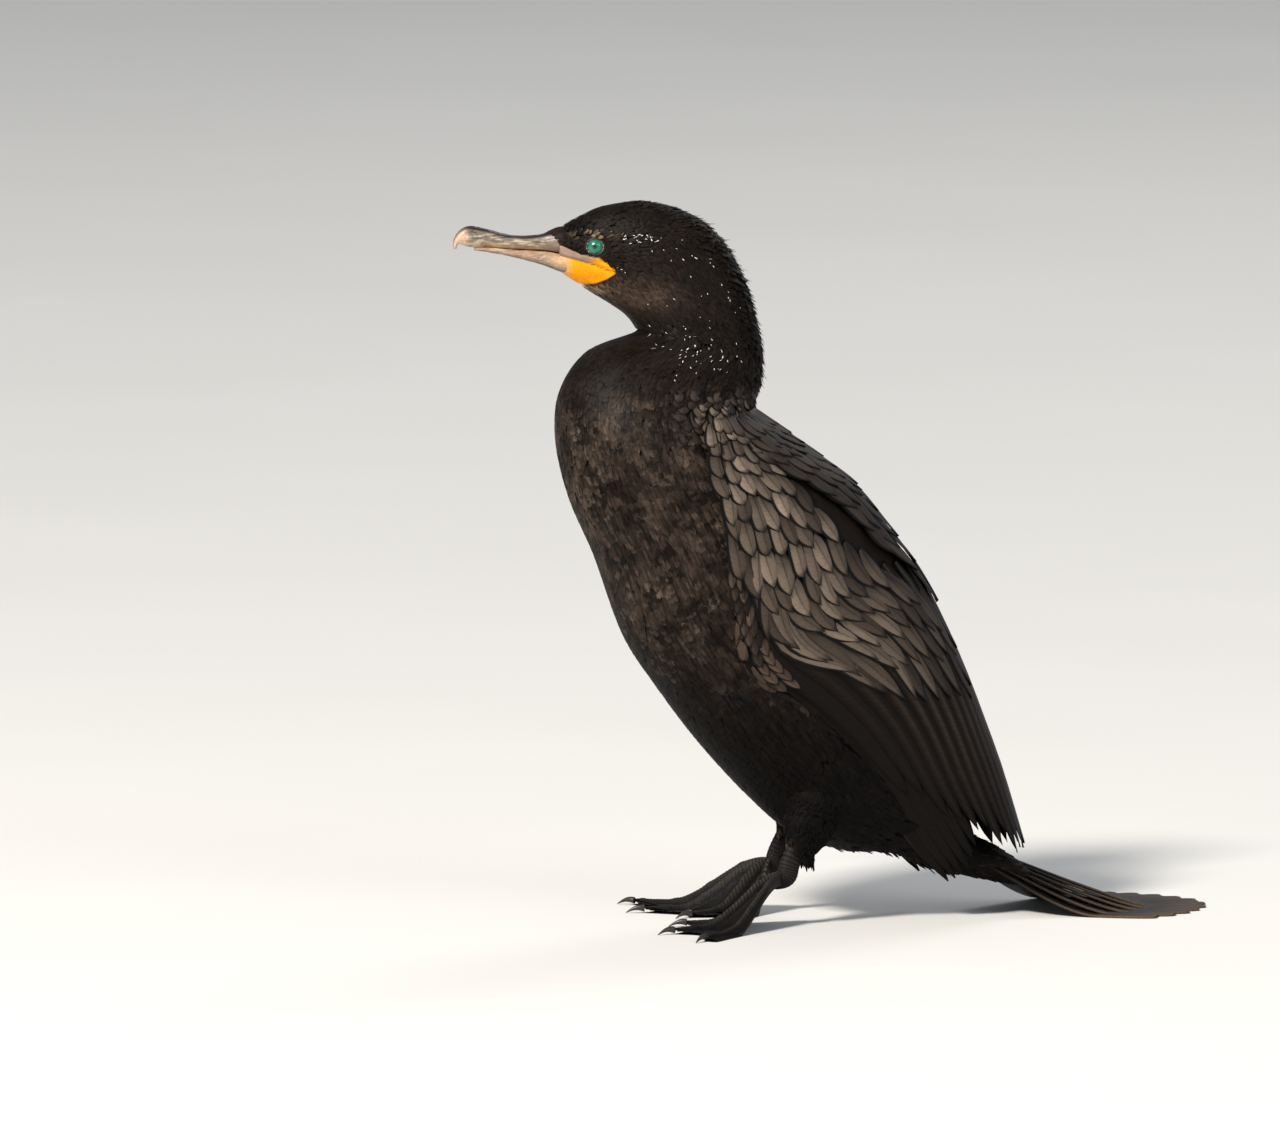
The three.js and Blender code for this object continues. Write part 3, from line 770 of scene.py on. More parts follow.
# the thighs' feathers hang down to the ankles
thighFeathers = {
    "spacing": 2.2, "length": 10, "lengthSpread": 0.12, "width": 4.4, "widthSpread": 0.1, "slant": 10,
    "ragged": 0.3, "hairy": True, "columns": [-1, -0.5, 0, 0.5, 1], "rows": [0, 0.4, 0.75, 1],
}
for label, side in (("left", 1), ("right", -1)):
    stations = thighStations(side)

    def thighSurface(place, angle, grow=0.0):
        points = limbPoints(side, stations, np.maximum(place, 0.02), angle, grow)
        points[..., 2] += np.minimum(place - 0.02, 0) * 9 * millimetre
        return points

    p, a = scatterRows(thighSurface, 0.25, 2.7, thighFeathers["spacing"])
    a %= 360
    count = len(p)
    points, faces, barbs, uu, vAll = layScattered(
        thighSurface, p, a, thighFeathers, lambda u, v, i: -1.6 + 2.3 * np.sin(v * 1.5) - 0.15 * u ** 2,
        bladeOutline, -1)
    edgeBrown = hump(a, 100, 30) * (1 - smooth(p, 0.4, 0.9)) * random.random(count)
    shade = tint(plumage["belly"] * random.normal(1.2, 0.2, count)[:, None], plumage["chin"], edgeBrown * 0.7)
    colours = np.repeat(shade, len(uu), axis=0)
    bake = tuftMap(p / 3 * 0.96 + 0.02, a / 360 * 0.98 + 0.01, uu, vAll)
    piece = addPiece(label + "ThighFeathers", points, faces, bodyPlumage, colours, barbs, bake)
    finishPiece(piece, "plumage")
print("body coat laid")


covertPlumage = plumageMaterial("wing coverts, taupe with a dull bloom", 1.6, 0.5, 0.2, 0.45, 0.1, 0.12)
flightPlumage = plumageMaterial("flight feathers, stiff and slightly glossy", 1.4, 0.5, 0.25, 0.4, 0.06, 0.12)
# the wings' colours, with a paler brown for the painted sheen on the secondaries
wingColours = palette(
    centre="#3e342d", pale="#75675a", edge="#080605", shaft="#17110e", scapular="#2a221d", flight="#0f0b09",
    flightEdge="#070504", leading="#5b4a3f", sheen="#463a32",
)
vaneColumns = [-1, -0.77, -0.66, -0.36, -0.09, 0, 0.09, 0.36, 0.66, 0.77, 1]
vaneRows = [0, 0.15, 0.32, 0.46, 0.58, 0.68, 0.77, 0.85, 0.93, 1]
paleCentre = 0.715  # the share of a covert's half width inside its dark edge


def covertOutline(v):
    return np.interp(v, [0, 0.12, 0.35, 0.55, 0.66, 0.76, 0.85, 0.93, 1],
                     [0.35, 0.72, 1, 0.98, 0.9, 0.74, 0.5, 0.26, 0.02])


def scaleOutline(v):
    return np.interp(v, [0, 0.2, 0.5, 0.76, 0.88, 0.96, 1], [0.4, 0.85, 1, 0.96, 0.76, 0.4, 0.06])


def flightOutline(v):
    return np.interp(v, [0, 0.1, 0.4, 0.8, 0.88, 0.94, 0.975, 1], [0.4, 0.8, 1, 0.86, 0.66, 0.44, 0.26, 0.03])


def vaneColours(uu, vAll, centre, edge, shaft, border):
    distance = np.maximum(np.abs(uu)[None] + 0 * vAll, smooth(vAll, 0.76, 1.02))
    lit = mix(0.62, 1.1, smooth(uu, -0.9, 0.5))  # painted shade: the half under its neighbour, turned from the light, is darker
    colour = centre[:, None] * lit[None, :, None] + 0 * vAll[..., None]
    colour = tint(colour, edge, smooth(distance, border - 0.055, border + 0.055))
    return tint(colour, shaft, hump(uu[None], 0, 0.07) * (1 - 0.4 * vAll) * 0.9)


def cellMap(count, uu, vAll):
    # each large vane has a cell of its own
    wide = math.ceil(math.sqrt(count))
    index = np.arange(count)
    column, row = index % wide, index // wide
    u = (column[:, None] + 0.5 + uu[None] * 0.44) / wide
    v = (row[:, None] + 0.06 + vAll * 0.88) / wide
    return np.stack([u, v], -1).reshape(-1, 2)


def addVanes(name, vanes, material, colours, slot):
    points, faces, barbs, uu, vAll = vanes
    piece = addPiece(name, points, faces, material, colours.reshape(-1, 3), barbs,
                     cellMap(len(vAll), uu, vAll))
    finishPiece(piece, slot)


# rows of feathers: their tips as [place down the wing, share across it], their length and their width
covertRows = [
    ([[0.3, 1.04], [0.3, 0.85], [0.45, 0.58]], 13, 9), ([[0.62, 1.04], [0.66, 0.85], [0.85, 0.56]], 14, 9.5),
    ([[0.95, 1.04], [1.02, 0.85], [1.25, 0.56]], 15, 10), ([[1.3, 1.04], [1.4, 0.88], [1.66, 0.58]], 17, 11),
    ([[1.68, 1.04], [1.82, 0.88], [2.12, 0.58]], 19, 11.5),
    ([[2.05, 1.03], [2.25, 0.9], [2.5, 0.75], [2.65, 0.56]], 22, 12),
    ([[2.4, 1.02], [2.7, 0.88], [2.85, 0.74], [3.0, 0.6], [3.2, 0.5]], 25, 12.5),
    ([[2.8, 0.99], [3.1, 0.87], [3.35, 0.74], [3.55, 0.6], [3.8, 0.48]], 28, 12.5),
    ([[3.2, 0.95], [3.5, 0.84], [3.8, 0.74], [4.05, 0.62], [4.3, 0.48], [4.6, 0.38]], 30, 13),
    ([[4.15, 0.75], [4.45, 0.66], [4.7, 0.55], [5.0, 0.43], [5.3, 0.3]], 33, 13),
    ([[4.75, 0.68], [5.1, 0.6], [5.35, 0.48], [5.7, 0.36], [6.0, 0.22]], 36, 13),
    ([[5.2, 0.68], [5.6, 0.6], [5.95, 0.5], [6.2, 0.38], [6.5, 0.24], [6.5, 0.1]], 42, 13),
    ([[3.84, 0.89], [4.24, 0.83], [4.6, 0.79], [5.1, 0.77], [5.6, 0.74], [5.96, 0.68], [6.4, 0.62],
      [6.75, 0.51], [6.95, 0.4], [7.1, 0.26], [7.2, 0.08]], 56, 13.5),
]
scapularRows = [
    ([[0.5, 0.5], [0.5, 0.04]], 13, 9.5), ([[0.85, 0.54], [0.85, 0.04]], 15, 10),
    ([[1.25, 0.56], [1.2, 0.04]], 18, 11), ([[1.7, 0.55], [1.6, 0.04]], 22, 12),
    ([[2.2, 0.48], [2.05, 0.04]], 27, 12.5), ([[2.7, 0.4], [2.55, 0.04]], 31, 13),
    ([[3.25, 0.36], [3.1, 0.04]], 35, 13), ([[3.8, 0.32], [3.65, 0.04]], 38, 13.5),
    ([[4.4, 0.28], [4.25, 0.04]], 42, 14), ([[5.0, 0.22], [4.95, 0.04]], 46, 14),
    ([[5.7, 0.16], [5.7, 0.04]], 50, 14),
]
wingKinds = {"covert": 0, "scapular": 1, "leading": 2}
# pitch: the share of a feather's width from one to the next in its row
covertLay = {"lengthSpread": 0.05, "widthSpread": 0.09, "pitch": 0.7, "high": 1.4, "highStep": 0.04,
             "lean": -3, "leanSpread": 6, "lesserWidth": 11.2, "rise": 1.4}
scapularLay = {"pitch": 0.66, "high": 1.9, "lean": -38, "leanFrom": 0.08, "leanSpread": 4, "rise": 1.5}
# long feathers: the tips' places down the wing, at shares across it
flight = {
    "secondaries": 13, "shares": (0.9, 0.05), "roots": (2.7, 5.0), "width": 18.0,
    "primaries": 8, "primaryShares": (0.55, 0.985), "primaryRoots": (4.0, 3.6), "primaryWidth": 14.0,
    "rows": [0, 0.08, 0.16, 0.24, 0.32, 0.4, 0.48, 0.56, 0.64, 0.72, 0.8, 0.87, 0.92, 0.96, 1],
    "tipShares": [0.05, 0.12, 0.2, 0.31, 0.38, 0.45, 0.52, 0.6, 0.7, 0.8, 0.9],
    "tipPlaces": [9.85, 9.95, 10.0, 9.88, 9.75, 9.62, 9.4, 9.3, 9.05, 8.3, 7.5],
}
# small feathers in two rows along the wing's front edge: their tips' places and shares
leading = {"places": [2.9, 3.4, 3.9, 4.4, 4.8], "outer": [1.03, 1.0, 0.955, 0.965, 0.985],
           "inner": [0.99, 0.96, 0.92, 0.925, 0.95], "step": 0.17}


def alongRow(surface, knots, step):
    # evenly spaced places along a row, step millimetres apart
    knots = np.array(knots, float)
    dense = np.linspace(0, len(knots) - 1, 80)
    p, q = (np.interp(dense, np.arange(len(knots)), knots[:, i]) for i in (0, 1))
    travel = np.append(0, np.cumsum(np.linalg.norm(np.diff(surface(p, q), axis=0), axis=-1))) / millimetre
    at = np.arange(random.random() * 0.5 * step, travel[-1], step)
    return np.interp(at, travel, p), np.interp(at, travel, q)


def addWing(label, side):
    surface = wingSurface(side)
    groups = []

    def put(p, q, long, wide, high, kind, lean=0.0):
        # p and q are the tips' places, and the roots lie up the wing from them
        count, one = len(p), np.ones(len(p))
        long, lean = varied(long, covertLay["lengthSpread"], count), one * lean
        alongScale = metric(surface, np.clip(p - 0.4, 0, 9.6), np.clip(q, 0, 1))[0]
        acrossScale = metric(surface, np.clip(p - 0.3, 0, 9.6), np.clip(q, 0, 1))[1]
        root = np.maximum(p - long / alongScale, -0.35)
        rootShare = q - np.tan(np.radians(lean)) * long / acrossScale
        long = np.maximum((p - root) * metric(surface, root, np.clip(rootShare, 0, 1))[0], 7)
        broad = varied(wide, covertLay["widthSpread"], count)
        groups.append(np.stack([root, rootShare, long, broad, one * high, one * wingKinds[kind], lean], -1))

    for r, (knots, long, wide) in enumerate(covertRows):
        p, q = alongRow(surface, knots, wide * covertLay["pitch"])
        uneven = random.normal(0, 0.06, len(p)) + 0.1 * (np.arange(len(p)) % 2)
        put(p + uneven, q, long, wide, covertLay["high"] - covertLay["highStep"] * r, "covert",
            random.normal(covertLay["lean"], covertLay["leanSpread"], len(p)))
    for knots, long, wide in scapularRows:
        p, q = alongRow(surface, knots, wide * scapularLay["pitch"])
        lean = scapularLay["lean"] * np.clip(q - scapularLay["leanFrom"], 0, 1)
        lean = lean + random.normal(0, scapularLay["leanSpread"], len(p))
        put(p + random.normal(0, 0.08, len(p)), q, long, wide, scapularLay["high"], "scapular", lean)
    p = np.arange(leading["places"][0], 4.75, leading["step"])
    put(p, np.interp(p, leading["places"], leading["outer"]), 12, 6.5, 1.0, "leading")
    put(p + 0.1, np.interp(p, leading["places"], leading["inner"]), 15, 7.5, 0.5, "leading")

    group = np.concatenate(groups)
    scapular = group[:, 5] == wingKinds["scapular"]
    small = (group[:, 3] < covertLay["lesserWidth"]) & (group[:, 5] == wingKinds["covert"])
    for name, chosen, outline in (("Coverts", ~scapular & ~small, covertOutline),
                                  ("LesserCoverts", small, scaleOutline),
                                  ("Scapulars", scapular, covertOutline)):
        p, q, long, broad, high, kind, lean = group[chosen].T
        count = len(p)
        twist = random.normal(0, 0.1, count)

        def heights(u, v, i):
            rise = np.where(kind[i] == wingKinds["scapular"], scapularLay["rise"], covertLay["rise"])
            ridge = 0.3 * hump(u, 0, 0.09) * (1 - v)
            return high[i] - 1.9 + rise * v + (0.42 + twist[i]) * u + ridge - 0.75 * u ** 2

        vanes = layVanes(surface, p, q, long, broad, vaneColumns, vaneRows, outline, heights, 1, lean)
        uu, vAll = vanes[3:]
        vary = random.normal(1, 0.14, count)[:, None]
        patch = random.random(count)
        shade = smooth(q, 0.1, 0.75) * (1 - 0.45 * smooth(long, 45, 60))  # browner and darker towards the back and in the long rows: partly the back's own darker feathers, partly painted shade on the feathers turned from the light
        centre = tint(wingColours["centre"], wingColours["pale"], patch ** 1.6)
        centre = tint(wingColours["scapular"], centre, shade)
        scapulars = tint(wingColours["scapular"], wingColours["centre"], 0.7 * patch * smooth(q, 0.05, 0.4))
        edging = tint(wingColours["flight"], wingColours["leading"], 0.75 * patch)
        for lay, other in (("scapular", scapulars), ("leading", edging)):
            centre = np.where((kind == wingKinds[lay])[:, None], other, centre)
        colours = vaneColours(uu, vAll, centre * vary, wingColours["edge"], wingColours["shaft"], paleCentre)
        under = smooth(vAll, 0.15, 0.6)[..., None]  # painted shadow: darker where the feathers above cast over it
        colours = colours * (0.45 + 0.55 * under)
        addVanes(label + name, vanes, covertPlumage, colours, "wing_feather")

    # flight feathers, from under the coverts to their separate tips
    t = np.linspace(0, 1, flight["secondaries"])
    share, base = mix(*flight["shares"], t), mix(*flight["roots"], t)
    tip = np.interp(share, flight["tipShares"], flight["tipPlaces"])
    tip = tip - 0.18 * (np.arange(len(t)) % 2) - 0.14 * (np.arange(len(t)) % 3 == 1)
    t2 = np.linspace(0, 1, flight["primaries"])
    share2, base2 = mix(*flight["primaryShares"], t2), mix(*flight["primaryRoots"], t2)
    tip2 = np.interp(t2, [0, 0.6, 1], [9.0, 9.7, 9.9])
    secondary = np.arange(len(t) + len(t2)) < len(t)
    high = np.append(0.2 + 0.9 * t, np.full(len(t2), -0.5))
    p, q = np.append(base, base2), np.append(share, share2)
    last = np.append(tip, tip2)
    stretch = np.array([np.mean(metric(surface, np.linspace(a, b, 12), np.full(12, c))[0])
                        for a, b, c in zip(p, last, q)])
    long, broad = stretch * (last - p), np.where(secondary, flight["width"], flight["primaryWidth"])

    def longHeights(u, v, i):
        ridge = 0.4 * hump(u, 0, 0.09) * (1 - v)
        return high[i] - 1.9 + 0.5 * v + 0.5 * u + ridge - 0.55 * u ** 2

    vanes = layLong(surface, p, q, long, broad, flight["rows"], flightOutline, longHeights)
    uu, vAll = vanes[3:]
    centre = wingColours["flight"] * varied(1, 0.1, len(p))[:, None]
    colours = vaneColours(uu, vAll, centre, wingColours["flightEdge"], wingColours["shaft"], 0.86)
    # painted sheen: a paler strip beside each secondary's shaft, stronger towards the root
    sheen = hump(uu[None], 0.45, 0.16) * (smooth(q, 0.95, 0.5) * secondary)[:, None]
    colours = tint(colours, wingColours["sheen"], sheen * (0.35 + 0.65 * (1 - smooth(vAll, 0.5, 0.95))) * 0.8)
    pale = (uu[None] > 0.8) * (np.arange(len(p)) == len(p) - 1)[:, None] * smooth(vAll, 0.2, 0.4)
    colours = tint(colours, wingColours["leading"], pale * 0.5 * (1 - smooth(vAll, 0.7, 0.95)))
    addVanes(label + "FlightFeathers", vanes, flightPlumage, colours, "wing_feather")


edgeFeathers = {
    "share": 0.985, "bow": 0.05, "deep": 8.5, "turns": 5, "start": 0.1, "end": 7.6, "step": 0.3,
    "length": 11, "lengthSpread": 0.1, "width": 6, "widthSpread": 0.1, "slant": 8,
    "columns": [-1, -0.5, 0, 0.5, 1], "rows": [0, 0.4, 0.75, 0.92, 1],
}


def addWingEdge(label, side):
    wing = wingSurface(side)

    def edgeSurface(place, turn, grow=0.0):
        # turn 0 lies on the wing's outer face, 1 against the body
        share = edgeFeathers["share"] + edgeFeathers["bow"] * np.sin(np.pi * np.clip(turn, 0, 1))
        return wing(place, share, -0.4 - edgeFeathers["deep"] * turn + grow)

    p, a = [], []
    for k, turn in enumerate(np.linspace(0.05, 0.95, edgeFeathers["turns"])):
        p.append(np.arange(edgeFeathers["start"] + 0.5 * edgeFeathers["step"] * (k % 2), edgeFeathers["end"],
                           edgeFeathers["step"]))
        a.append(np.full(len(p[-1]), turn))
    p, a = np.concatenate(p), np.concatenate(a)
    p, a = p + random.normal(0, 0.05, len(p)), a + random.normal(0, 0.03, len(p))
    vanes = layScattered(
        edgeSurface, p, a, edgeFeathers, lambda u, v, i: -0.8 + 1.6 * v - 0.3 * u ** 2, scaleOutline, 1)
    uu, vAll = vanes[3:]
    brown = 0.55 * random.random(len(p)) * between(p, 2.2, 3.2, 4.6, 5.4)
    tone = tint(plumage["black"], wingColours["leading"], brown)
    rim = mix(1.0, 0.5, smooth(np.abs(uu)[None] * 0.6 + vAll * 0.6, 0.75, 1.05))
    addVanes(label + "EdgeFeathers", vanes, covertPlumage, tone[:, None] * rim[..., None], "wing_feather")


def layLong(surface, place, share, length, width, rows, outline, heights):
    # long vanes follow the wing step by step, since its scale changes on the way
    u, v = np.asarray(vaneColumns, float), np.asarray(rows, float)
    count = len(place)
    uu, vv = np.tile(u, len(v)), np.repeat(v, len(u))
    p, q = np.array(place, float), np.array(share, float)
    steps, last = [p.copy()], 0.0
    for value in v[1:]:
        for _ in range(3):
            alongScale = metric(surface, np.minimum(p, 9.9), q)[0]
            p = p + (value - last) / 3 * length / alongScale
        last = value
        steps.append(p.copy())
    centre = np.minimum(np.stack(steps, 1), 10.1)
    centreAll = np.repeat(centre, len(u), axis=1)
    qAll = np.broadcast_to(q[:, None], centreAll.shape)
    acrossScale = metric(surface, centreAll.ravel(), qAll.ravel())[1].reshape(centreAll.shape)
    vAll = np.broadcast_to(vv[None], centreAll.shape)
    half = outline(vv)[None] * np.asarray(width)[:, None] / 2
    high = heights(uu[None], vAll, np.arange(count)[:, None])
    points = surface(centreAll, qAll + uu[None] * half / acrossScale, high)
    barb = np.stack([vAll * length[:, None] + 0.8 * np.abs(uu[None]) * half,
                     np.broadcast_to(uu[None] * 2, vAll.shape),
                     np.broadcast_to((np.arange(count) * 3.7)[:, None], vAll.shape)], -1)
    return points.reshape(-1, 3), vaneFaces(count, len(v), len(u)), barb.reshape(-1, 3), uu, vAll


for make in (addWing, addWingEdge):
    make("leftWing", 1)
    make("rightWing", -1)

# scaly mantle feathers on the shoulders and down the back's middle
mantle = {"rows": 38, "top": 13.0, "step": 0.25, "reach": 97, "narrowing": 3, "least": 22, "spacing": 5.8,
          "length": 15, "lengthSpread": 0.08, "width": 8.8, "widthSpread": 0.1, "slant": 12}
roots = []
for row in range(mantle["rows"]):
    tipPlace = mantle["top"] - mantle["step"] * row
    limit = max(mantle["reach"] - mantle["narrowing"] * row, mantle["least"])
    acrossScale = metric(bodySurface, np.full(9, tipPlace), np.linspace(10, 90, 9))[1]
    step = mantle["spacing"] / float(np.mean(acrossScale))
    angles = np.arange(-limit, limit, step) + 0.5 * step * (row % 2)
    roots.append(np.stack([np.full(len(angles), tipPlace), angles, np.full(len(angles), limit)], -1))
tips, angles, limits = np.concatenate(roots).T
count = len(tips)
p = tips + random.normal(0, 0.09, count)
a = angles + random.normal(0, 1.6, count)
front = smooth(limits - np.abs(a), 0, 9) * (1 - 0.8 * smooth(tips, 12.6, 13.1))  # darker at the mantle's edge
long = mantle["length"] * (1 + 0.5 * (1 - smooth(tips, 5, 10)))
long = varied(long, mantle["lengthSpread"], count)
p = p + long / metric(bodySurface, p, np.abs(a))[0]
patch, twist = random.random(count), random.normal(0, 0.1, count)
overlap = (0.3 + twist) * np.where(a > 0, 1, -1)  # the edge nearer the back's middle lies over its neighbour
vanes = layVanes(
    bodySurface, p, a, long, varied(mantle["width"], mantle["widthSpread"], count), vaneColumns, vaneRows,
    scaleOutline, lambda u, v, i: -1.4 + 2.2 * v + overlap[i] * u - 0.6 * u ** 2, -1,
    random.normal(0, mantle["slant"], count))
uu, vAll = vanes[3:]
pale = 0.85 * patch ** 1.2 * smooth(np.abs(a), 10, 60) * front
centre = tint(wingColours["scapular"], wingColours["pale"], pale) * varied(1, 0.1, count)[:, None]
colours = vaneColours(uu, vAll, centre, wingColours["edge"], wingColours["shaft"], paleCentre)
# painted shadow: darker towards each feather's root, where the feathers above cast over it
colours = colours * (0.4 + 0.6 * smooth(vAll, 0.2, 0.7))[..., None]
addVanes("mantleFeathers", vanes, covertPlumage, colours, "wing_feather")
print("wings laid")


# stiff feathers, fanned and laid on the ground
tail = {
    "feathers": 12, "length": 152, "outerLength": 118, "spread": 25, "width": 19, "flat": 34, "baseY": 61,
    "baseZ": 37, "thick": 0.15, "black": linear("#15110f"), "tip": linear("#40352c"),
    "shaft": linear("#4b3d31"), "rim": linear("#5c4a3a"),
}
tailPlumage = plumageMaterial("tail feathers, stiff, worn brown at the tips", 1.3, 0.5, 0.25, 0.42, 0.07, 0.12)


def tailSurface(off, t, u, high):
    angle = np.radians(tail["spread"] * off)
    length = mix(tail["length"], tail["outerLength"], np.abs(off) ** 1.6)
    lift = 2.4 * (1 - np.abs(off))
    reach = t * length
    fall = smooth(reach / (length - tail["flat"]), 0, 1)
    drop = tail["baseZ"] * (1 - 0.55 * fall - 0.45 * np.minimum(1, reach / (length - tail["flat"])))
    low = drop + lift * (1 - smooth(t, 0.55, 0.8))
    blunt = np.sqrt(np.clip(1 - np.clip((t - 0.55) / 0.46, 0, 1) ** 6 * 0.985, 0.004, 1))
    half = tail["width"] / 2 * mix(0.34, 1.0, smooth(t, 0, 0.6)) * blunt
    aside = np.sin(angle) * length * t ** 1.5 + off * 8
    x = aside + u * half * np.cos(angle)
    y = tail["baseY"] + np.cos(angle) * reach - u * half * np.sin(angle)
    return placed(np.stack([x, y, low + high + 0 * x], -1))


count = tail["feathers"]
rows = np.concatenate([np.linspace(0, 0.86, 20), [0.9, 0.93, 0.96, 0.98, 1.0]])
t, u = np.meshgrid(rows, np.array(vaneColumns), indexing="ij")
uuAll = np.append(np.concatenate([u, u[:, ::-1]], 1).ravel(), [0, 0])
ttAll = np.append(np.concatenate([t, t[:, ::-1]], 1).ravel(), [0, 1])
parts, colours, barbs, bake = [], [], [], []
for index in range(count):
    off = (index - (count - 1) / 2) / ((count - 1) / 2)
    ragged = 0.012 * random.random(t.shape) * (t > 0.985)
    over = 0.55 * (u if off > 0 else -u)
    quill = 0.5 * hump(u, 0, 0.09) * (1 - t)
    top = tailSurface(off, t - ragged, u, 1.35 + 0.4 * over + quill - 0.35 * u ** 2)
    under = tailSurface(off, t - ragged, u, tail["thick"])
    top[..., 2] = np.maximum(top[..., 2], under[..., 2] + 0.4 * millimetre)
    parts.append(loft(np.concatenate([top, under[:, ::-1]], 1)))
    base = layered(tail["black"], (tail["tip"], smooth(ttAll + 0.1 * np.abs(uuAll), 0.8, 1.05) * 0.8),
                   (tail["shaft"], hump(uuAll, 0, 0.07) * 0.6),
                   (tail["rim"], smooth(np.abs(uuAll), 0.9, 1) * smooth(ttAll, 0.35, 0.8) * 0.8))
    colours.append(base * random.normal(1, 0.08))
    barbs.append(np.stack([ttAll * 150 + np.abs(uuAll) * 8, uuAll * 2, 0 * uuAll + index * 3.3], -1))
    column, row = index % 4, index // 4
    bake.append(np.stack([(column + 0.5 + uuAll * 0.45) / 4, (row + 0.03 + ttAll * 0.94) / 3], -1))
tailPiece = addPiece("tailFeathers", *gathered(parts), tailPlumage, np.concatenate(colours),
                     np.concatenate(barbs), np.concatenate(bake))
outward(tailPiece)
finishPiece(tailPiece, "tail_feather", "tail")

# coverts over and under the tail's root
tailCoverts = {
    "places": [1.3, 1.75, 2.2, 2.65], "step": 15.0, "length": 27, "lengthSpread": 0.08, "width": 9.5,
    "widthSpread": 0.08, "slant": 6, "columns": vaneColumns, "rows": vaneRows,
}
a, p = np.meshgrid(np.arange(0, 360, tailCoverts["step"]), tailCoverts["places"])
p, a = p.ravel() + random.normal(0, 0.08, p.size), (a.ravel() + random.normal(0, 4, a.size)) % 360
vanes = layScattered(
    bodySurface, p, a, tailCoverts, lambda u, v, i: -1.8 + 2.6 * v + 0.2 * u - 0.5 * u ** 2, covertOutline, -1)
uu, vAll = vanes[3:]
centre = tint(plumage["belly"], plumage["brown"], random.random(len(p)) * 0.8)
colours = vaneColours(uu, vAll, centre, plumage["belly"], plumage["belly"], 0.85)
addVanes("tailCoverts", vanes, bodyPlumage, colours, "plumage")
print("tail laid")


horn = skinnedMaterial("bill horn, grey and flaking", 1.4, 0.25, 0.42, 0.4, 0.1)
billColours = palette(
    ridge="#171210", side="#6f6357", pale="#b5a68f", hook="#c9a98d", band="#b08a63", edge="#1f1713",
    lower="#9e8069",
)


def addBill(name, sections, upper, rows, sides, slot, node):
    last = len(sections) - 1
    place, angle = ringGrid(np.linspace(0, last, rows), sides)
    if not upper:
        sections = sections + np.array([0, 0, 0, 0.7, 0])  # the closed bill shows no gap
    flat = onSection(sections, place, angle)
    y, solid = flat[..., 1], (flat * millimetre).reshape(-1, 3)
    sideways, up = np.abs(np.sin(np.radians(angle))), np.cos(np.radians(angle))
    flake = patches(solid * np.array([1, 0.45, 1.6]), 2.6, 4.2, 3).reshape(y.shape)
    body = between(-y, 150, 158, 196, 203)
    grow = 0.25 * (flake - 0.5) * body
    if upper:
        grow -= 0.55 * hump(up, 0.42, 0.16) * sideways * body  # the groove along each side
    points, faces = loft(onHead(onSection(sections, place, angle, grow)))
    streaks = patches(solid * np.array([1, 0.25, 2.2]), 1.8, 8.8, 3).reshape(y.shape)
    if upper:
        colour = layered(
            billColours["side"], (billColours["pale"], smooth(flake, 0.42, 0.75) * (0.35 + 0.5 * (up < 0.5))),
            (billColours["ridge"], smooth(streaks, 0.52, 0.72) * 0.65 * (up > -0.2)),
            (billColours["ridge"], smooth(up, 0.55, 0.8) * (1 - smooth(-y, 199, 206) * 0.8)),
            (billColours["band"], smooth(-up, 0.15, 0.6) * 0.55 * (1 - smooth(-y, 188, 198))),
            (billColours["hook"], smooth(-y, 196, 204) * (1 - smooth(up, 0.55, 0.9) * 0.85) * 0.8),
            (plumage["lore"], (1 - smooth(-y, 150, 164)) * 0.8 * (up < 0.7)))
    else:
        colour = layered(
            billColours["lower"], (billColours["pale"], smooth(flake, 0.45, 0.8) * 0.7),
            (billColours["edge"], smooth(streaks, 0.55, 0.75) * 0.35),
            # painted shade: the lower bill's underside darker; the streaks on the line above are the horn's own
            # marks
            (billColours["edge"], smooth(-up, 0.55, 0.85) * 0.9),
            (plumage["cream"], (1 - smooth(-y, 149, 158)) * 0.6 * (up > -0.6)))
    u = np.append(angle / 360 * 0.96 + 0.02, [0.5, 0.5])
    v = np.append(place / last * 0.92 + 0.04, [0.01, 0.99])
    colours = capped(colour, colour[0].mean(0), colour[-1].mean(0))
    piece = addPiece(name, points, faces, horn, colours, None, np.stack([u, v], -1))
    outward(piece)
    finishPiece(piece, slot, node)


addBill("upperBill", upperBillSections, True, 150, 64, "bill_horn", "upper_bill")
addBill("lowerBill", lowerBillSections, False, 110, 56, "bare_skin", "lower_bill")


# an emerald iris with a small pupil, in a ring of pale beads, in millimetres from the eyeball's middle
eye = {"radius": 5.4, "bulge": 0.05, "pupil": 1.05, "iris": 3.6, "rows": 40, "sides": 64}
lids = {"wide": 5.05, "tall": 4.3, "out": 2.9, "thick": 0.8, "around": 72, "tube": 16}
beads = {"count": 26, "size": 0.36, "wide": 4.62, "tall": 3.88, "out": 3.3}
eyeColours = palette(
    pupil="#010705", iris="#045c46", bright="#07765d", rim="#022c22", front="#010504", back="#03382c",
    lid="#1a1411", bead="#b5a988", greenBead="#6f9a86",
)
eyeMaterial, eyeShader = newMaterial("wet cornea over an emerald iris")
eyePlace = addNode(eyeMaterial, "ShaderNodeTexCoord")
irisNoise = addNode(eyeMaterial, "ShaderNodeTexNoise", {}, Vector=eyePlace.outputs["Object"], Scale=2600.0,
                    Detail=2.0)
toneCoat(eyeMaterial, eyeShader, irisNoise.outputs["Fac"], (0.3, 0.7), (0.75, 1.25))
setGloss(eyeShader, Roughness=0.25, Coat_Weight=1.0, Coat_Roughness=0.02, Coat_IOR=1.38)  # the cornea's index
lidMaterial = skinnedMaterial("eyelid skin with pale beads", 0.5, 0.08, 0.45)


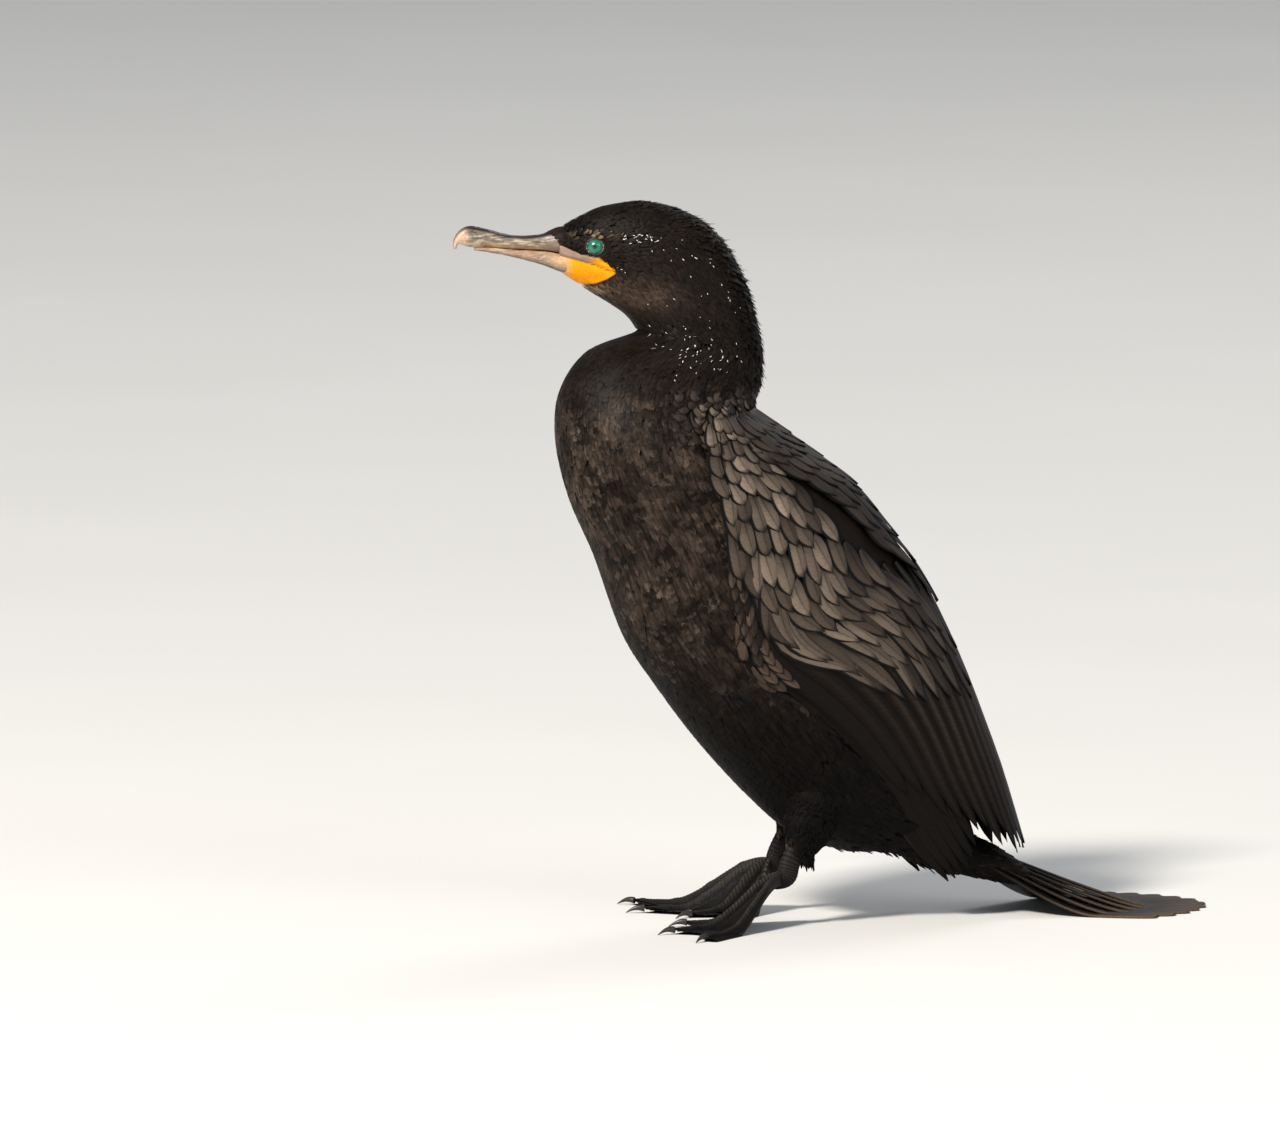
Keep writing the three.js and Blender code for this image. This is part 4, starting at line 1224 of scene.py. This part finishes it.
def addEye(label, side):
    centre = onHead(eyeCentre * np.array([side, 1, 1]))
    axis = turned(np.array([side * 1.0, headTurn["pivotY"] - 0.18, 0.02]), 1.0)
    axis[1] -= headTurn["pivotY"]
    axis = unit(axis)
    upAxis = unit(np.array([0, 0, 1.0]) - axis * axis[2])
    fore = np.cross(upAxis, axis)

    def around(out, forward, up):
        return centre + millimetre * (np.asarray(out)[..., None] * axis + np.asarray(forward)[..., None] * fore
                                      + np.asarray(up)[..., None] * upAxis)

    polar, turn = ringGrid(np.linspace(0, np.pi, eye["rows"] + 1)[1:-1], eye["sides"], 2 * np.pi)
    radius = eye["radius"] * (1 + eye["bulge"] * hump(polar, 0, 0.5))  # the cornea stands a little proud
    flat = radius * np.sin(polar)
    points, faces = loft(around(radius * np.cos(polar), flat * np.cos(turn), flat * np.sin(turn)))
    seen = np.sin(polar) * eye["radius"]
    facing = polar < 1.5
    colour = layered(
        eyeColours["pupil"], (eyeColours["iris"], smooth(seen, eye["pupil"], eye["pupil"] + 0.25) * facing),
        (eyeColours["bright"], hump(seen, 2.3, 0.8) * 0.6 * facing),
        (eyeColours["rim"], smooth(seen, eye["iris"], eye["iris"] + 0.9)))
    piece = addPiece("eye" + label, points, faces, eyeMaterial,
                     capped(colour, eyeColours["front"], eyeColours["back"]))
    outward(piece)
    finishPiece(piece, "eye", "eye_" + label.lower())

    # the lids: a soft ring round the opening, and beads along it
    lap, tube = ringGrid(np.linspace(0, 2 * np.pi, lids["around"], endpoint=False), lids["tube"], 2 * np.pi)
    swell = lids["thick"] * np.cos(tube)
    ring = around(lids["out"] + lids["thick"] * np.sin(tube), np.cos(lap) * (lids["wide"] + swell),
                  np.sin(lap) * (lids["tall"] + swell))
    faces = gridFaces(lids["around"] + 1, lids["tube"], closed=True) % lap.size
    parts, colours = [(ring.reshape(-1, 3), faces)], [np.tile(eyeColours["lid"], (lap.size, 1))]
    for k in range(beads["count"]):
        a = 2 * np.pi * k / beads["count"]
        middle = around(beads["out"], math.cos(a) * beads["wide"], math.sin(a) * beads["tall"])
        down, spin = ringGrid(np.linspace(0, np.pi, 7)[1:-1], 8, 2 * np.pi)
        size = beads["size"] * (1 + 0.2 * math.sin(k * 2.4))
        ball = np.stack([np.sin(down) * np.cos(spin), np.sin(down) * np.sin(spin), np.cos(down)], -1)
        parts.append(loft(middle + millimetre * size * ball))
        colours.append(np.tile(eyeColours["bead" if k % 3 else "greenBead"], (len(parts[-1][0]), 1)))
    piece = addPiece("eyelids" + label, *gathered(parts), lidMaterial, np.concatenate(colours))
    outward(piece)
    finishPiece(piece, "bare_skin")


addEye("Left", 1)
addEye("Right", -1)

# forehead tufts run out over the bill's base in a point
foreheadTufts = {
    "count": 520, "length": 2.6, "lengthSpread": 0.15, "width": 1.3, "widthSpread": 0.1, "slant": 14,
    "hairy": True, "columns": [-1, 0, 1], "rows": [0, 0.5, 1],
}


def billTop(place, angle, grow=0.0):
    return onHead(onSection(upperBillSections, place, angle, grow))


count = foreheadTufts["count"]
p = 0.5 + 1.3 * random.random(count) ** 1.4
a = np.interp(p, [0.9, 1.2, 1.8], [112, 84, 10]) * random.uniform(-1, 1, count)
points, faces, barbs, uu, vAll = layScattered(
    billTop, p, a, foreheadTufts, lambda u, v, i: 0.05 + 0.35 * v - 0.1 * u ** 2, bladeOutline, -1)
tone = tint(plumage["black"], plumage["cheek"], random.random(count) * 0.6)
piece = addPiece("foreheadTufts", points, faces, neckPlumage, np.repeat(tone, len(uu), axis=0), barbs,
                 tuftMap(p / 1.9 * 0.98 + 0.01, a / 260 + 0.5, uu, vAll))
finishPiece(piece, "plumage")
print("bill and eyes made")


# each toe's angle from straight ahead, outer edge last, and its length
toes = [(-56, 36), (-24, 54), (4, 71), (31, 82)]
foot = {"web": 1.5, "toeHalf": 3.1, "toeHigh": 5.4, "root": 2.5, "joint": 19, "scute": 1.9, "scuteHigh": 0.32,
        "black": linear("#0f0d0c"), "scale": linear("#4c463f"), "shank": linear("#38332e")}
footSkin = skinnedMaterial("foot skin, black leather with scale ridges", 0.8, 0.3, 0.55, 0.12)


def webReach(angle):
    a = np.array([t[0] for t in toes], float)
    long = np.interp(angle, a, [t[1] for t in toes])
    i = np.clip(np.searchsorted(a, angle) - 1, 0, 2)
    share = np.clip((angle - a[i]) / (a[i + 1] - a[i]), 0, 1)
    return long * (1 - 0.17 * np.sin(np.pi * share))


def addFoot(label, side):
    edges = []
    for i, (a, _) in enumerate(toes):
        edges.append(a + np.linspace(-5, 5, 17))
        if i < 3:
            edges.append(np.linspace(a + 5, toes[i + 1][0] - 5, 14)[1:-1])
    angles = np.concatenate(edges)
    share, angle = np.meshgrid(np.linspace(0, 1, 90), angles, indexing="ij")
    reach = foot["root"] + share * (webReach(angle) - foot["root"])
    toeAngle = np.array([t[0] for t in toes])
    nearest = np.argmin(np.abs(angle[..., None] - toeAngle), -1)
    aside = np.abs(reach * np.sin(np.radians(angle - toeAngle[nearest])))
    ridge = foot["toeHigh"] * (1 - 0.4 * share) * np.clip(1 - (aside / foot["toeHalf"]) ** 2, 0, 1)
    joints = 0.5 * np.exp(-((np.sin(reach / foot["joint"] * np.pi)) / 0.35) ** 2) * (ridge > 1)
    scale = np.abs(np.sin(reach * np.pi / foot["scute"]))
    scute = foot["scuteHigh"] * scale * smooth(ridge, 1.2, 3.5)
    tent = (baseZ - 5) * (1 - smooth(share, 0.04, 0.74))
    crease = 0.25 * np.sin(angle * 1.9 + reach * 0.1) * smooth(share, 0.1, 0.4) * (ridge < 0.5)
    high = tent + np.maximum(foot["web"] + crease, ridge + joints + scute)
    low = np.maximum(0, tent - foot["web"])
    turn = np.radians(angle + legSettings["turn"])
    x = side * (legX + np.sin(turn) * reach)
    y = footY(side) - np.cos(turn) * reach
    top = placed(np.stack([x, y, high], -1))
    under = placed(np.stack([x, y, low], -1))
    pale = smooth(ridge, 2.2, 4.6) * smooth(scale, 0.45, 0.9)
    colour = tint(foot["black"], foot["scale"], pale * 0.5)
    colour = colour * (0.85 + 0.35 * patches(top.reshape(-1, 3), 5, 2.2).reshape(share.shape))[..., None]
    both = np.concatenate([colour, colour[:, ::-1] * 0.8], 1)
    sole = addPiece("foot" + label, *loft(np.concatenate([top, under[:, ::-1]], 1)), footSkin,
                    capped(both, foot["black"], foot["black"]))
    outward(sole)
    back = footY(side)
    stations = [[legX, back - 9.5, baseZ - 6.5, 1.2, 1.2], [legX, back - 5, baseZ - 5.5, 3.6, 3.6],
                [legX, back + 0.5, baseZ - 2, 4.2, 5.4], [legX - 0.5, back + 3, baseZ + 5, 3.6, 5.4],
                [legX - 2, back + 9, baseZ + 17, 3.8, 5.6], [legX - 4, back + 15, baseZ + 28, 4.4, 6.2]]
    place, angle = ringGrid(np.linspace(0, 5, 120), 36)
    ringed = 0.2 * np.abs(np.sin(place * 5 * np.pi)) * smooth(place, 1.2, 2)
    colour = tint(foot["black"], foot["shank"], smooth(ringed, 0.1, 0.2) * 0.4)
    shank = addPiece("shank" + label, *loft(limbPoints(side, stations, place, angle, ringed)), footSkin,
                     capped(colour, foot["black"], foot["black"]))
    outward(shank)
    finishPiece(sole, "foot_skin", "foot_" + label.lower())
    finishPiece(shank, "foot_skin", "shank_" + label.lower())


addFoot("Left", 1)
addFoot("Right", -1)

clawHorn = speckledMaterial("claw horn, dark and worn", "#14110f", "#3a322b", 900.0, 3.0, 0.38)
claw = {"length": 10, "sunk": 1.0, "half": 1.6, "high": 2.2, "arch": 0.9, "tip": 0.25}
parts = []
for side in (1, -1):
    for a, long in toes:
        turn = math.radians(a + legSettings["turn"])
        t, around = ringGrid(np.linspace(0, 1, 14), 12, 2 * np.pi)
        reach = long - claw["sunk"] + t * claw["length"]
        wide = claw["tip"] + claw["half"] * (1 - t ** 1.3)
        middle = claw["tip"] + claw["high"] * (1 - t ** 1.6) + claw["arch"] * np.sin(np.pi * t)
        x = side * (legX + math.sin(turn) * reach + math.cos(turn) * wide * np.cos(around))
        y = footY(side) - math.cos(turn) * reach + math.sin(turn) * wide * np.cos(around)
        z = np.maximum(0.02, middle + np.minimum(wide, middle) * np.sin(around))
        parts.append(loft(placed(np.stack([x, y, z], -1))))
claws = addPiece("claws", *gathered(parts), clawHorn)
outward(claws)
finishPiece(claws, "claw", *[f"claw_{s}_{i}" for s in ("left", "right") for i in (1, 2, 3, 4)])
print("feet made")


# white filoplumes behind the eye and down the neck
plumeWhite = speckledMaterial("filoplume keratin, white and thin", "#e9e4da", "#ffffff", 400.0, 2.0, 0.5)
# each cluster: its middle as y and z, its spread and how many
clusters = [(-110, 373.5, 8, 2.4, 17), (-100, 371, 6, 4.5, 8), (-85, 366, 9, 6, 6), (-70, 358, 7, 10, 7),
            (-79, 346, 6, 4, 3), (-84, 311, 15, 11, 42), (-78, 325, 15, 10, 9), (-60, 338, 8, 13, 7),
            (-117, 355.5, 3, 2, 3), (-96, 338, 9, 5, 3)]
filoplumes = {"spacing": 0.9, "length": 0.92, "spread": 0.26, "least": 0.5, "most": 1.6, "width": 0.32,
              "slant": 28}
rootPlace, rootAngle = scatterRows(bodySurface, 12.6, 23, filoplumes["spacing"])
rootAngle %= 360
y, z = headPlane(bodySurface(rootPlace, rootAngle))[:, 1:].T
chosen = []
for cy, cz, sy, sz, number in clusters:
    weight = np.exp(-((y - cy) / sy) ** 2 - ((z - cz) / sz) ** 2)
    weight *= np.abs(np.sin(np.radians(rootAngle))) > 0.35
    chosen.append(random.choice(len(weight), number * 2, replace=False, p=weight / weight.sum()))
chosen = np.unique(np.concatenate(chosen))
p, a = rootPlace[chosen], rootAngle[chosen]
size = random.normal(filoplumes["length"], filoplumes["spread"], len(p))
size = size.clip(filoplumes["least"], filoplumes["most"])
points, faces, barbs, uu, vAll = layVanes(
    bodySurface, p, a, size, size * filoplumes["width"], [-1, 0, 1], [0, 0.5, 1],
    lambda v: np.interp(v, [0, 0.5, 1], [0.5, 1, 0.3]), lambda u, v, i: 0.45 + 0.3 * v - 0.1 * u ** 2, -1,
    random.normal(0, filoplumes["slant"], len(p)))
plumes = addPiece("filoplumes", points, faces, plumeWhite, None, None, bodyMap(p, a, uu, vAll))
finishPiece(plumes, "plumage")
print("filoplumes laid")

bpy.ops.mesh.primitive_plane_add(size=40)
floor = bpy.context.object
floor.name = "floor"
floor.data.materials.append(speckledMaterial("pale painted floor", "#d6d4cf", "#dcdad6", 3.0, 2.0, 0.8))


# soft studio light: each lamp's place, power in watts, size in metres and colour
studio = {
    "key": ((3.0, -4.4, 5.0), 760, 1.1, (1.0, 0.95, 0.88)),
    "fill": ((4.5, 2.2, 2.6), 60, 3.0, (0.86, 0.92, 1.0)),
    "rim": ((-3.4, 3.0, 4.0), 70, 2.0, (1.0, 0.98, 0.95)),
}
sky = {"colour": (0.80, 0.86, 0.95, 1), "strength": 0.4}
lit = Vector((0, 0, 0.2))
for name, (position, power, size, colour) in studio.items():
    bpy.ops.object.light_add(type="AREA", location=position)
    light = bpy.context.object
    light.name = name
    light.data.energy, light.data.size, light.data.color = power, size, colour
    light.rotation_mode = "QUATERNION"
    light.rotation_quaternion = (lit - Vector(position)).to_track_quat("-Z", "Y")
world = bpy.data.worlds.new("studio")
bpy.context.scene.world = world
world.use_nodes = True
world.node_tree.nodes["Background"].inputs["Color"].default_value = sky["colour"]
world.node_tree.nodes["Background"].inputs["Strength"].default_value = sky["strength"]
bpy.context.scene.view_settings.view_transform = "Standard"
print("stage lit")
